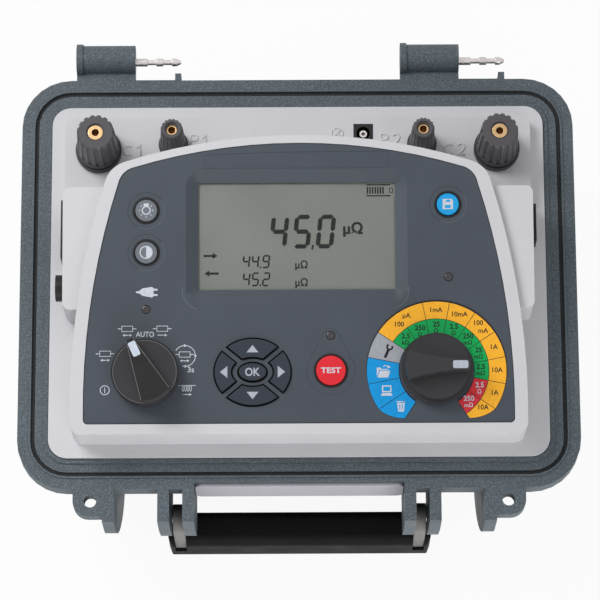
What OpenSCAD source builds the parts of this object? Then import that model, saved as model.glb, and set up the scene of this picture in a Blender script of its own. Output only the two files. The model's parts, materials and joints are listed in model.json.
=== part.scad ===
// Portable low resistance ohmmeter in a moulded carrying case, lid lifted off.
// Millimetres, X right, Y to the hinges, Z up, from the centre of the resting face.

/* [Case] */
// Width over the rim
case_w = 315; // [300:1:330]
// Depth over the rim
case_l = 240; // [228:1:252]
// Height of the rim above the resting face
rim_z = 118; // [112:1:126]
// Corner radius of the rim in plan
rim_r = 28; // [22:1:34]
// Thickness of the case walls and floor
wall = 3.5; // [2.5:0.1:4]
// Inset of the outer wall from the rim edge
rim_overhang = 13.5; // [12.5:0.1:15]
// Lean of each wall down to the floor
draft = 7.5; // [5:0.5:10]
// Rounding of the bottom edge
base_round = 14; // [8:1:18]
// Thickness of the rim flange
rim_t = 5; // [4.5:0.1:6]
// Height of the skirt of the rim
skirt_h = 12.5; // [9:0.5:16]
// Thickness of the skirt
skirt_t = 3.4; // [2.5:0.1:4.5]
// Depth of the relief in the underside
relief_d = 1.2; // [0.6:0.1:1.8]
// Radius of the corner pads in the underside
pad_r = 15; // [10:1:18]

/* [Rim seal] */
// Inset of the ridge from the rim edge
ridge_in = 6.3; // [5.5:0.1:7]
// Width of the ridge
ridge_w = 1.1; // [0.8:0.1:1.4]
// Height of the ridge
ridge_h = 0.8; // [0.4:0.1:1.5]
// Width of the groove for the sealing cord
seal_groove_w = 2.3; // [1.8:0.1:2.6]
// Depth of the groove
seal_groove_d = 2.4; // [1.8:0.1:3]
// Width of the inner lip round the mouth
lip_w = 2.4; // [1.8:0.1:2.6]
// Height of the inner lip above the rim
lip_h = 1; // [0.5:0.1:1.5]

/* [Latch and handle ears] */
// Reach of the ears beyond the rim
ear_reach = 18.5; // [16:0.5:20]
// Upright front edge of the ears
ear_front_h = 27; // [20:1:32]
// Thickness of each ear
ear_t = 6.5; // [5.5:0.1:6.8]
// Inner face of the outer rib, from the case end
rib_in = 54.3; // [52:0.1:56]
// Foot of the outer rib, in front of the origin
rib_foot_y = 94.5; // [90:0.5:98]
// Inner face of the inner ear, from the middle
inner_ear_x = 58.6; // [57:0.2:60]
// Slot for the handle arm between its ears
arm_slot = 7.4; // [7.2:0.1:8]

/* [Padlock tabs] */
// Outer edge of the tab, from the case end
tab_in = 31.4; // [30:0.1:35]
// Reach of the tab beyond the rim
tab_reach = 15.2; // [13:0.2:17]
// Thickness of the tab
tab_t = 10; // [8:0.5:12]
// Corner radius of the tab
tab_r = 8.5; // [6:0.5:8.6]
// Radius of the padlock eye
eye_r = 3.5; // [3:0.1:4]
// Centre of the eye, from the end of the case
eye_in = 41.1; // [40:0.1:42]
// Centre of the eye beyond the rim
eye_reach = 6.7; // [6:0.1:8]

/* [Hinges] */
// Left end of the left hinge, from the left case end
hinge_left_in = 30.8; // [29:0.1:32]
// Left end of the right hinge, from the right case end
hinge_right_in = 98.4; // [96:0.1:100]
// Thickness of the end plate of a hinge
hinge_plate_t = 3.6; // [3:0.1:4.5]
// Length of the barrel
barrel_l = 30; // [26:0.5:32]
// Radius of the barrel
barrel_r = 8.2; // [7.6:0.1:8.8]
// Axis of the barrel beyond the rim
barrel_reach = 12.5; // [12:0.1:13]
// Axis of the pin beyond the rim
pin_reach = 10.9; // [10.6:0.1:11.6]
// Radius of the hinge pin where the lid turns
pin_r = 2.3; // [2.1:0.05:2.4]
// Length of that bearing stretch
pin_bearing_l = 7; // [6:0.5:8]
// Radius of the waist of the pin
pin_waist_r = 1.5; // [1.2:0.05:1.7]
// Length of each waist
pin_waist_l = 5; // [4:0.5:6]
// Length of the collar
pin_collar_l = 4; // [3:0.5:5]
// Length of the cylindrical head
pin_head_l = 2.5; // [2:0.5:3]
// Length of the cone at the tip
pin_tip_l = 2.7; // [2:0.1:3]
// Radius of the pin inside the barrel
pin_root_r = 2.6; // [2.5:0.05:2.8]
// Length of the pin inside the barrel
pin_root_l = 22; // [16:1:24]

/* [Handle] */
// Pivot of the handle beyond the rim
pivot_reach = 6; // [5.5:0.1:7]
// Height of the pivot
pivot_z = 67; // [64:0.5:72]
// Radius of the ears about the pivot
pivot_boss_r = 10; // [9:0.5:11]
// Radius of the pivot pins
pivot_r = 3; // [2.5:0.1:3.5]
// Thickness of a handle arm
arm_t = 6.4; // [5.5:0.1:6.6]
// Width of a handle arm
arm_w = 16; // [13:0.5:17]
// Length of the grip past each arm
grip_over = 4.5; // [3.5:0.1:6]
// Thickness of the grip
grip_t = 20; // [18:0.5:21]
// Height of the grip
grip_h = 34; // [30:1:36]
// Height of the grip above the ground
grip_clear = 6; // [4:0.5:10]
// Rounding of the grip corners
grip_r = 6; // [4:0.5:8]
// Lower end of the arm above the grip's lower edge
arm_end_h = 15; // [10:1:18]

/* [Front plate] */
// Height of the front plate
front_plate_h = 27; // [22:1:29]
// Thickness of the front plate
front_plate_t = 1.8; // [1.4:0.1:2.4]
// Rounding of the corners of the front plate
front_plate_r = 4; // [2:0.5:6]
// Depth of the notch above the front plate
front_notch = 3.8; // [3:0.1:5]

/* [Panel] */
// Inset of the case mouth from the rim edge
mouth_in = 17; // [17:0.1:18]
// Gap between the panel and the case mouth
panel_gap = 0.4; // [0.3:0.1:0.6]
// Corner radius of the panel
panel_r = 10.6; // [9:0.2:12]
// Thickness of the border of the panel
border_t = 4; // [3.5:0.1:5]
// Wall thickness of the panel moulding
panel_wall = 3; // [2.4:0.1:3.4]
// Depth of the ledge below the rim
seat_d = 1.5; // [1:0.1:2]
// Width of the ledge that the panel rests on
ledge_w = 7; // [6:0.5:8]
// Thickness of that ledge
ledge_t = 3.5; // [3:0.1:4]
// Height of the terminal deck above the rim
deck_h = 9; // [7:0.5:11]
// Side of the terminal deck, from the case mouth
deck_in = 8.1; // [7.5:0.1:8.7]
// Rear edge of the terminal deck
deck_rear_y = 94.2; // [93:0.2:96]
// Corner radius of the deck
deck_r = 6; // [4:0.5:7]
// Step from the side of the deck in to the shoulder
shoulder_in = 1.2; // [0.6:0.1:2]
// Rear edge of the shoulders
shoulder_rear_y = 44.2; // [43:0.2:47]
// Front edge of the shoulders
shoulder_front_y = -24.5; // [-27:0.5:-22]
// Drop of the shoulders below the bezel
shoulder_drop = 4; // [3:0.5:5]

/* [Bezel and fascia] */
// Slope of the fascia, rear edge up
tilt = 6; // [4:0.5:7]
// Front edge of the bezel
bezel_front_y = -95; // [-96:0.1:-94]
// Front edge of the bezel above the rim
bezel_front_h = 27; // [25:0.5:29]
// Width of the lip at the sides
lip_side = 7.6; // [6.5:0.1:8.5]
// Width of the lip at the front
lip_front = 6; // [5.2:0.1:7]
// Width of the lip at the rear
lip_rear = 4.8; // [4:0.1:6]
// Side of the fascia at its front, from the side of the deck
fascia_in = 13.6; // [12.8:0.1:14.4]
// Height of the fascia up its slope
fascia_l = 157.2; // [156.4:0.2:158]
// Radius of the bowed sides of the fascia
side_bow_r = 427; // [410:1:450]
// Radius of the bowed top of the fascia
top_bow_r = 316; // [300:1:330]
// Height up the slope of the widest place
side_bow_s = 9; // [6:0.5:12]
// Radius of the upper corners of the fascia
fascia_top_r = 11; // [8:0.5:14]
// Radius of the lower corners of the fascia
fascia_low_r = 2.6; // [1.5:0.1:4]
// Thickness of the fascia
fascia_t = 3; // [2.4:0.1:3.4]
// Depth of the fascia face below the lip
fascia_sink = 0.6; // [0.2:0.1:1]
// Gap round the fascia
fascia_gap = 0.4; // [0.2:0.1:0.6]
// Width of the ledge under the fascia
fascia_ledge = 4.5; // [3.5:0.1:6]
// Thickness of that ledge
fascia_ledge_t = 2.6; // [2:0.1:3.2]

/* [Display] */
// Centre of the display from the middle
display_x = -0.8; // [-1.5:0.1:0.5]
// Centre of the display up the slope of the fascia
display_s = 105.4; // [104.6:0.2:106.2]
// Width of the viewing window
window_w = 110; // [106:0.5:112]
// Height of the viewing window
window_h = 60.6; // [58:0.2:62]
// Sloped surround beside the window
surround_w = 6.6; // [5:0.2:7]
// Height of the surround below the window
surround_low = 12.6; // [10:0.2:13]
// Height of the surround above the window
surround_top = 7; // [6:0.2:8]
// Depth of the window below the fascia face
window_d = 4.2; // [3.4:0.1:5]
// Corner radius of the surround at its face
surround_r = 10; // [6:0.5:12]
// Thickness of the lens
lens_t = 1.5; // [1:0.1:2]
// Thickness of the display cell
cell_t = 3; // [2:0.1:3.4]

/* [Round buttons] */
// Radius of the three small button caps
button_r = 6.1; // [5.5:0.1:6.5]
// Radius of the test button cap
test_r = 8.2; // [7.6:0.1:8.6]
// Height of the button caps above the fascia
button_h = 1.6; // [1.3:0.1:2.2]
// Width of the ring round a button
ring_w = 1; // [0.8:0.05:1.2]
// Height of the ring above the fascia
ring_h = 0.4; // [0.2:0.1:0.8]
// Running gap round a moving button or key
key_gap = 0.35; // [0.3:0.05:0.4]
// Travel of the buttons and keys
key_travel = 1.2; // [0.8:0.1:1.4]
// Light and contrast buttons, from the fascia's side
left_column_in = 34.4; // [32.8:0.2:35.8]
// Height of the light button up the slope
light_s = 119.3; // [118:0.2:121]
// Height of the contrast button up the slope
contrast_s = 95.5; // [94:0.2:97]
// Save button, from the fascia's side
right_column_in = 35.4; // [33.8:0.2:36.8]
// Height of the save button up the slope
save_s = 122.1; // [121:0.2:123]
// Column of the test button, from the middle
test_x = 17.8; // [17.2:0.1:18.4]
// Height of the test button up the slope
test_s = 29; // [28:0.2:31]

/* [Lamps] */
// Radius of the indicator lamps
led_r = 2.4; // [2:0.1:2.6]
// Height of the left lamp up the slope
led_left_s = 63.8; // [62:0.2:66]
// Height of the right lamp up the slope
led_right_s = 81.2; // [80:0.2:83]
// Height of the test lamp up the slope
led_test_s = 48.6; // [48.2:0.2:50]

/* [Direction keys] */
// Centre of the direction keys
pad_x = -25.5; // [-27:0.2:-24]
// Centre of the direction keys up the slope
pad_s = 28.3; // [27.6:0.1:29.2]
// Half width over the direction keys
pad_a = 20.9; // [20:0.1:21.4]
// Half height over the direction keys
pad_b = 18.5; // [17.5:0.1:18.8]
// Half width inside the direction keys
pad_in_a = 12; // [11.4:0.1:12.4]
// Half height inside the direction keys
pad_in_b = 8.4; // [8:0.1:8.8]
// Width of the web between two direction keys
pad_web = 4.2; // [3.6:0.1:4.6]
// Half width of the middle key
ok_a = 7.7; // [7:0.1:8]
// Half height of the middle key
ok_b = 5; // [4.6:0.1:5.3]
// Slope of the webs between the keys
pad_web_angle = 39.5; // [37:0.5:42]
// Gap round the direction keys
pad_gap = 0.9; // [0.6:0.1:1]
// Height of the direction keys
pad_h = 1.5; // [1.3:0.1:2]

/* [Rotary knobs] */
// Function knob, from the fascia's side
function_in = 34; // [32.8:0.2:34.8]
// Centre of the function knob up the slope
function_s = 27.7; // [27:0.1:29]
// Radius of the function knob
function_r = 18.4; // [17.5:0.1:19]
// Height of the function knob
function_h = 17; // [15:0.5:19]
// Range knob, from the fascia's side
range_in = 42.5; // [42.2:0.1:42.8]
// Centre of the range knob up the slope
range_s = 29.4; // [29.2:0.1:30]
// Radius of the skirt of the range knob
range_r = 19.8; // [19:0.1:20.4]
// Height of the skirt of the range knob
range_skirt_h = 4; // [3:0.5:5]
// Radius of the body of the range knob
range_body_r = 17.6; // [16.5:0.1:18.2]
// Height of the range knob
range_h = 19; // [17:0.5:21]
// Width of the grip bar at its narrow end
bar_narrow = 5.6; // [4.6:0.1:6.4]
// Width of the grip bar at its wide end
bar_wide = 17; // [14:0.5:19]
// Depth of the hollows beside the grip bar
bar_h = 9; // [7:0.5:11]
// Gap under the knobs
knob_gap = 0.5; // [0.3:0.1:0.8]
// Direction of the mark of the function knob
function_angle = 115; // [100:1:130]
// Radius of a switch shaft
shaft_r = 3; // [2.5:0.1:3.4]
// Radius of a switch body
switch_r = 13; // [11:0.5:15]
// Depth of a switch body
switch_h = 15; // [12:0.5:17]
// Radius of the bush of a switch
bush_r = 4.6; // [4.2:0.1:5]
// Outer radius of the range dial
dial_r = 38.9; // [38:0.1:39.6]
// Inner radius of the range dial
dial_in_r = 20.8; // [20.6:0.1:21.4]
// Thickness of the dial label
dial_t = 0.3; // [0.2:0.05:0.4]
// Angle of one range position
dial_pitch = 22.5; // [20:0.5:22.5]
// Number of range positions
dial_count = 13; // [9:1:13]
// Depth of the dial below the knob's axis
dial_low = 23; // [20:0.5:24]

/* [Terminals] */
// Current terminals, from the side of the deck
current_in = 19.4; // [18.4:0.2:20.4]
// Potential terminals, from the side of the deck
potential_in = 61.8; // [60.4:0.2:63.4]
// Depth of the current terminals behind the origin
current_y = 74.2; // [73:0.2:76]
// Depth of the potential terminals behind the origin
potential_y = 77.6; // [77:0.1:79]
// Radius of the base of a current terminal
current_base_r = 13; // [12:0.2:13.6]
// Height of the base of a current terminal
current_base_h = 5; // [4:0.5:6]
// Foot radius of the cap of a current terminal
current_cap_r = 12; // [11:0.2:12.4]
// Top radius of the cap of a current terminal
current_top_r = 10.4; // [9.6:0.2:11]
// Top of a current terminal above the deck
current_h = 36; // [33:0.5:38]
// Depth of the stud below the top of a current cap
current_stud_drop = 0.8; // [0.5:0.1:1.5]
// Radius of the stud of a current terminal
current_stud_r = 4.25; // [4:0.05:4.5]
// Radius of the base of a potential terminal
potential_base_r = 8.4; // [7.6:0.2:9]
// Height of the base of a potential terminal
potential_base_h = 3.5; // [3:0.5:4.5]
// Foot radius of the cap of a potential terminal
potential_cap_r = 7.6; // [7:0.1:8]
// Top radius of the cap of a potential terminal
potential_top_r = 6.2; // [6:0.1:6.6]
// Top of a potential terminal above the deck
potential_h = 31; // [29:0.5:33]
// Radius of the stud of a potential terminal
potential_stud_r = 3.05; // [2.9:0.05:3.2]
// Depth of the stud below the top of a potential cap
potential_stud_drop = 2.6; // [1.5:0.1:3.5]
// Radius of the plug socket in every stud
socket_r = 2; // [1.95:0.01:2.1]
// Depth of the plug socket
socket_d = 18; // [14:0.5:20]
// Number of grooves round a cap
cap_grooves = 16; // [12:1:20]
// Thickness of the clamp washers
washer_t = 0.8; // [0.6:0.1:1.2]
// Running gap between a cap and its stud
cap_run = 0.08; // [0.05:0.01:0.1]

/* [Lamp jack] */
// Lamp jack, from the side of the deck
jack_in = 95; // [93.4:0.2:96.4]
// Depth of the lamp jack behind the origin
jack_y = 84.6; // [84:0.1:86]
// Width of the lamp jack
jack_w = 11; // [10:0.2:12]
// Radius of the bore of the lamp jack
jack_r = 3.8; // [3.4:0.1:4.2]
// Outer radius of the tube of the lamp jack
jack_pin_r = 2.1; // [1.8:0.1:2.4]

/* [Side sockets] */
// Middle of the side sockets above the rim
side_socket_h = 18.4; // [17.5:0.1:19.5]
// Middle of the mains inlet along the side
inlet_y = 22.6; // [21.5:0.2:24]
// Length of the flange of the mains inlet
inlet_flange_l = 34; // [32:0.5:35]
// Height of the flange of the mains inlet
inlet_flange_h = 23; // [21:0.5:24]
// Thickness of the flange of the mains inlet
inlet_flange_t = 1.5; // [1.2:0.1:2]
// Length of the socket of the mains inlet
inlet_l = 24.4; // [24:0.1:25]
// Height of the socket of the mains inlet
inlet_h = 16.4; // [16:0.1:17]
// Depth of the socket of the mains inlet
inlet_d = 15; // [14:0.5:17]
// Middle of the fuse holder along the side
fuse_y = -9; // [-11:0.2:-8]
// Radius of the fuse cap
fuse_r = 7.5; // [7:0.1:8]
// Height of the fuse cap above its wall
fuse_cap_h = 4.2; // [3.6:0.1:5]
// Length of the fuse holder inside the panel
fuse_l = 30; // [26:1:34]
// Middle of the data socket along the side
usb_y = 26.4; // [25:0.2:28]
// Length of the cover of the data socket
usb_cover_l = 21.6; // [20:0.2:23]
// Height of the cover of the data socket
usb_cover_h = 14; // [12:0.5:16]
// Thickness of the cover of the data socket
usb_cover_t = 2.4; // [2:0.1:3]

/* [Boards and battery] */
// Thickness of a circuit board
board_t = 1.6; // [1.2:0.1:2]
// Depth of the control board below the fascia
control_d = 12; // [11:0.5:13]
// Side of the control board, from the fascia's side
control_side_in = 20.8; // [19:0.2:22.8]
// Rear of the control board, from the fascia's rear
control_rear_in = 17.2; // [16.2:0.2:20]
// Height of the main board
main_z = 88; // [84:1:92]
// Side of the main board, from the case mouth
main_in = 16.5; // [15.5:0.5:17.5]
// Half depth of the main board
main_y = 89; // [88:0.5:90]
// Front pillars, from the main board's side
pillar_front_in = 7.5; // [7:0.1:8]
// Rear pillars, from the main board's side
pillar_rear_in = 30; // [29:0.5:31.5]
// Depth of the pillars from the middle
pillar_y = 80; // [79:0.2:80.4]
// Radius of the pillars
pillar_r = 4; // [3.5:0.1:4.5]
// Radius of the screws
screw_r = 1.5; // [1.3:0.1:1.7]
// Battery, from the left wall
battery_in = 15.5; // [14:0.5:17]
// Depth of the battery
battery_w = 94; // [90:1:96]
// Height of the battery
battery_h = 34; // [32:1:36]
// Gap between the battery and the power supply
battery_gap = 7.5; // [6:0.5:9]
// Height of the tray round the battery
tray_h = 12; // [8:1:16]
// Width of the power supply board
supply_w = 78; // [76:1:80]
// Depth of the power supply board
supply_l = 130; // [124:1:134]
// Power supply, from the right wall
supply_in = 14; // [13:0.5:15]
// Height of the studs under the power supply
supply_stud_h = 6; // [4:0.5:8]
// Length of the heat sink
sink_l = 62; // [58:1:66]
// Height of the heat sink
sink_h = 32; // [28:1:36]
// Number of fins on the heat sink
sink_fins = 7; // [5:1:9]
// Edge of the square transformer core
core_w = 42; // [38:1:46]
// Height of the transformer
core_h = 34; // [30:1:38]

/* [Hidden] */
$fn = 64;

// Overrun of every cut past its face
over = 1;
// Clearance between fixed pieces
fit = 0.1;
// Clearance beside a moving piece
near = 0.35;
// Running clearance round a pin or shaft
run = 0.06;
// Size of the half space that trims a block
big = 2 * case_w;
// Thickness of the slices of a rounded body
slice_t = 0.01;

// Steps of the drawn curves
corner_steps = 7;
side_steps = 9;
top_steps = 14;
rib_steps = 9;
round_steps = 5;
bar_steps = 10;
ellipse_steps = 48;
rib_curve_share = 4 / 3;

// Lines and levels of the case
front_y = -case_l / 2;
rear_y = case_l / 2;
mouth_w = case_w - 2 * mouth_in;
mouth_l = case_l - 2 * mouth_in;
mouth_r = rim_r - mouth_in;
body_r = rim_r - rim_overhang / 2;
rib_x = case_w / 2 - rib_in;
tab_x = case_w / 2 - tab_in;
eye_x = case_w / 2 - eye_in;
hinge_left_x = hinge_left_in - case_w / 2;
hinge_right_x = case_w / 2 - hinge_right_in;
ledge_z = rim_z - seat_d;
cavity_z = ledge_z - ledge_t;
island_r = 12;
ear2_x = inner_ear_x + ear_t + arm_slot;
arm_x = inner_ear_x + ear_t + arm_slot / 2;
ear_front_y = front_y - ear_reach;
ear_root_y = front_y + rim_overhang + draft + base_round;
pivot_y = front_y - pivot_reach;
arm_low_z = grip_clear + arm_end_h;
grip_w = 2 * (arm_x + arm_t / 2 + grip_over);
notch_y = front_y + front_notch;
front_plate_drop = 3;
front_plate_w = 2 * inner_ear_x - 2 * near;
front_boss_h = front_plate_h + 2 * front_plate_drop;
web_drop = 8.2;
plate_over = 0.9;
rail_l = 26.3;
rail_reach = 2.3;
rail_drop = 6;
rail_h = 6;
nub_reach = 4.3;
nub_w = 3.5;
pin_tip_r = 1;

// Lines and levels of the panel
deck_x = mouth_w / 2 - deck_in;
shoulder_x = deck_x - shoulder_in;
fascia_x = deck_x - fascia_in;
current_x = deck_x - current_in;
potential_x = deck_x - potential_in;
jack_x = deck_x - jack_in;
function_x = function_in - fascia_x;
left_column_x = left_column_in - fascia_x;
range_x = fascia_x - range_in;
right_column_x = fascia_x - right_column_in;
deck_z = rim_z + deck_h;
border_z = ledge_z + border_t;
plane_z = rim_z + bezel_front_h;
roof_t = fascia_sink + fascia_t + fascia_ledge_t;
bezel_top_r = fascia_top_r + 2 * lip_side / 3;
bezel_low_r = lip_front;
shoulder_r = 4;
side_socket_z = rim_z + side_socket_h;
boss_drop = 6;
boss_z = rim_z - boss_drop;
boss_r = 5;
boss_h = 20;
posts = [
  [-current_x, current_y, 1], [-potential_x, potential_y, 0],
  [potential_x, potential_y, 0], [current_x, current_y, 1]
];

// Depths below the face of the fascia
well_wall = 1.6;
well_r = 1;
lens_margin = 3;
module_d = window_d + lens_t;
flange_t = 1.2;
flange_lip = 0.5;
stem_r = 2.2;
tact_r = 2.6;
tact_h = 1;
key_low = control_d - tact_h - key_travel - near;
board_low = control_d + board_t;
control_s = 3;
control_r = 12;
control_x = fascia_x - control_side_in;
control_l = fascia_l - control_rear_in - control_s;
boss_in = 5;
fascia_boss_r = 3.4;
boss_side_x = control_x - boss_in;
boss_mid_x = 52;
boss_low_s = 9;
boss_high_s = control_s + control_l - 2 * boss_in;
control_bosses = [
  [-boss_side_x, boss_low_s], [boss_side_x, boss_low_s], [-boss_side_x, boss_high_s],
  [boss_side_x, boss_high_s], [-boss_mid_x, boss_low_s], [0, boss_low_s]
];
screw_grip_l = 6;
head_r = 2.8;
head_h = 1.8;
led_proud = 0.4;
shaft_in_d = 10;
shaft_low = board_low + shaft_in_d;
knob_roof = 4;

// Lines of the terminals
current_sleeve_r = 6.6;
potential_sleeve_r = 5;
stud_tail_l = 15;
current_nut_r = 8.6;
potential_nut_r = 7;
nut_h = 4;
lug_t = 1;
lug_w = 2;
lug_reach = 5;
washer_in = 1;
cap_rebate = 0.4;
lead_r = 1.4;
lead_bend_r = 5;
groove_share = 0.09;
cap_recess_d = 1.2;
cap_recess_w = 0.9;
cap_chamfer = 1;
cap_collar_h = 3;

// Lines of the side sockets
jack_d = 15;
jack_flange_w = 0.9;
jack_flange_t = 2;
jack_pin_drop = 1.5;
jack_floor = 2;
inlet_wall = 1.8;
inlet_corner = 4.5;
blade_t = 2;
blade_w = 4;
blade_l = 13;
blade_pitch = 7;
blade_rise = 2;
holder_r = 6;
fuse_stem_r = 3.6;
fuse_stem_l = 10;
fuse_flange_t = 2;
fuse_slot_w = 1.6;
fuse_slot_d = 1.4;
usb_w = 12;
usb_h = 10.8;
usb_l = 16;
usb_frame_t = 1.2;
usb_hinge_r = 1.5;
usb_hinge_l = 10;
usb_pin_r = 0.8;
usb_lug_t = 1.6;

// Places and levels inside the case
floor_x = case_w / 2 - rim_overhang - draft - wall;
main_x = mouth_w / 2 - main_in;
pillar_front_x = main_x - pillar_front_in;
pillar_rear_x = main_x - pillar_rear_in;
supply_x = floor_x - supply_in - supply_w / 2;
battery_l = 2 * floor_x - battery_in - battery_gap - supply_w - supply_in;
battery_x = battery_in + battery_l / 2 - floor_x;
pillars = [
  [-pillar_front_x, -pillar_y], [pillar_front_x, -pillar_y],
  [-pillar_rear_x, pillar_y], [pillar_rear_x, pillar_y]
];
pillar_foot_h = 3;
pillar_foot_r = 6;
pillar_low_z = wall + pillar_foot_h;
stud_in_d = 8;
case_screw_l = 14;
recess_r = 3.4;
recess_d = 3;
tray_t = 2;
corner_r = 2;
board_r = 6;
tray_gap = 0.3;
supply_z = wall + supply_stud_h;
supply_stud_in = 6;
supply_top_z = supply_z + board_t;
peg_l = 2;
chip_w = 12;
chip_h = 3;
relay_h = 9;
fin_t = 1.8;

// Points of an arc, both ends included
function arc(cx, cy, r, from, to, steps) = [
  for (i = [0:steps])
    let (a = from + (to - from) * i / steps)
    [cx + r * cos(a), cy + r * sin(a)]
];

// Points between the two ends of an arc
function arc_inside(cx, cy, r, from, to, steps) = [
  for (i = [1:steps - 1])
    let (a = from + (to - from) * i / steps)
    [cx + r * cos(a), cy + r * sin(a)]
];

// Points of a rectangle with rounded corners
function round_rect(w, l, r) = concat(
  arc(w / 2 - r, l / 2 - r, r, 0, 90, corner_steps),
  arc(r - w / 2, l / 2 - r, r, 90, 180, corner_steps),
  arc(r - w / 2, r - l / 2, r, 180, 270, corner_steps),
  arc(w / 2 - r, r - l / 2, r, 270, 360, corner_steps)
);

// Points of an ellipse
function ellipse(a, b) = [
  for (i = [0:ellipse_steps - 1])
    let (t = 360 * i / ellipse_steps)
    [a * cos(t), b * sin(t)]
];

// Mirror image of points, taken backwards
function mirrored(p) = [for (i = [len(p) - 1:-1:0]) [-p[i][0], p[i][1]]];

// Direction from one point to another
function bearing(a, b) = atan2(b[1] - a[1], b[0] - a[0]);

// Point at the given distances from two centres, left of a to b
function meeting(a, ra, b, rb) =
  let (
    d = norm(b - a),
    u = (b - a) / d,
    m = (d * d + ra * ra - rb * rb) / (2 * d),
    h = sqrt(ra * ra - m * m)
  )
  a + m * u + h * [-u[1], u[0]];

// Outline of the fascia, grown at the sides, rear and front
function outline(side_g, rear_g, front_g, top_r, low_r) =
  let (
    side = [fascia_x - side_bow_r, side_bow_s],
    top = [0, fascia_l - top_bow_r],
    side_r = side_bow_r + side_g,
    bow_r = top_bow_r + rear_g,
    low_s = low_r - front_g,
    low = [side[0] + sqrt(pow(side_r - low_r, 2) - pow(low_s - side[1], 2)), low_s],
    high = meeting(side, side_r - top_r, top, bow_r - top_r),
    a = bearing(side, low),
    b = bearing(side, high),
    c = bearing(top, high),
    half = concat(
      arc(low[0], low[1], low_r, -90, a, corner_steps),
      arc_inside(side[0], side[1], side_r, a, b, side_steps),
      arc(high[0], high[1], top_r, b, c, corner_steps)
    )
  )
  concat(half, arc_inside(top[0], top[1], bow_r, c, 180 - c, top_steps), mirrored(half));

// The same outline seen from straight above
function in_plan(points) = [
  for (p = points) [p[0], bezel_front_y + (p[1] + lip_front) * cos(tilt)]
];

// Block with round corners between two levels
module plate(w, l, r, low, high) {
  translate([0, 0, low]) linear_extrude(high - low) polygon(round_rect(w, l, r));
}

// Puts its children on the fascia, x to the right and y up the slope
module on_fascia(x = 0, s = 0, n = 0) {
  translate([0, bezel_front_y, plane_z]) rotate([tilt, 0, 0])
    translate([x, lip_front + s, n - fascia_sink]) children();
}

// Everything deeper than a depth below the lip of the bezel
module below_lip(depth) {
  translate([0, bezel_front_y, plane_z]) rotate([tilt, 0, 0])
    translate([-big / 2, -big / 2, -big - depth]) cube(big);
}

// Sheet drawn in y and z, standing at x
module side_sheet(x, t, points) {
  translate([x, 0, 0]) rotate([90, 0, 90]) linear_extrude(t) polygon(points);
}

// Cylinder along x
module rod(x, y, z, r, l) {
  translate([x, y, z]) rotate([0, 90, 0]) cylinder(r = r, h = l);
}

// Body that leans in and rounds under, inset
module tub(inset, low, high) {
  foot = base_round - inset;
  hull() {
    translate([0, 0, high]) linear_extrude(slice_t)
      tub_slice(rim_overhang + inset + draft * (rim_z - high) / rim_z);
    for (i = [0:round_steps]) {
      a = 90 * i / round_steps;
      translate([0, 0, low + foot * (1 - sin(a))]) linear_extrude(slice_t)
        tub_slice(rim_overhang + inset + draft + foot * (1 - cos(a)));
    }
  }
}

// Level section of the case body, inset
module tub_slice(inset) {
  polygon(round_rect(case_w - 2 * inset, case_l - 2 * inset, max(body_r - inset / 2, slice_t)));
}

// Hinge barrel with its plate and the rail beside it
module hinge(x) {
  end_x = x + hinge_plate_t + barrel_l;
  rod(x, rear_y + barrel_reach, rim_z, barrel_r + plate_over, hinge_plate_t);
  rod(x, rear_y + barrel_reach, rim_z, barrel_r, hinge_plate_t + barrel_l);
  translate([x, rear_y - skirt_t, rim_z - web_drop])
    cube([hinge_plate_t + barrel_l, skirt_t + barrel_reach, web_drop]);
  translate([end_x - over, rear_y - skirt_t, rim_z - rail_drop - rail_h])
    cube([rail_l + over, skirt_t + rail_reach, rail_h]);
  translate([end_x + rail_l - nub_w, rear_y - skirt_t, rim_z - rail_drop - rail_h])
    cube([nub_w, skirt_t + nub_reach, rail_drop + rail_h]);
}

// Ear of the handle in y and z
function ear_points() = concat(
  [[ear_root_y, rim_z], [ear_front_y, rim_z], [ear_front_y, rim_z - ear_front_h]],
  arc(pivot_y, pivot_z, pivot_boss_r, 180, 270, corner_steps),
  [[ear_root_y, pivot_z - pivot_boss_r]]
);

// Outer rib in y and z
function rib_points() = concat(
  [[ear_root_y, 0], [ear_root_y, rim_z], [ear_front_y, rim_z]],
  [for (i = [0:rib_steps])
    let (
      a = 90 * i / rib_steps,
      reach = -rib_foot_y - ear_front_y
    )
    [-rib_foot_y - reach * pow(max(cos(a), 0), rib_curve_share),
      (rim_z - ear_front_h) * (1 - pow(sin(a), rib_curve_share))]]
);

// Padlock tab in plan
function tab_points() = concat(
  [[rib_x + ear_t / 2, front_y + skirt_t / 2], [rib_x + ear_t / 2, front_y - tab_reach]],
  arc(tab_x - tab_r, front_y - tab_reach + tab_r, tab_r, -90, 0, corner_steps),
  [[tab_x, front_y + skirt_t / 2]]
);

// Outside of the case before it is hollowed
module case_outside() {
  tub(0, 0, rim_z - rim_t);
  plate(case_w, case_l, rim_r, rim_z - rim_t, rim_z);
  difference() {
    plate(case_w, case_l, rim_r, rim_z - skirt_h, rim_z - rim_t / 2);
    plate(case_w - 2 * skirt_t, case_l - 2 * skirt_t, rim_r - skirt_t, rim_z - skirt_h - over, rim_z);
  }
  ring(ridge_in, ridge_w, ridge_h);
  ring(mouth_in - lip_w, lip_w, lip_h);
  for (side = [0, 1]) mirror([side, 0, 0]) {
    side_sheet(inner_ear_x, ear_t, ear_points());
    side_sheet(ear2_x, ear_t, ear_points());
    side_sheet(rib_x, ear_t, rib_points());
    translate([0, 0, rim_z - tab_t]) linear_extrude(tab_t) polygon(tab_points());
  }
  hinge(hinge_left_x);
  hinge(hinge_right_x);
}

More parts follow.
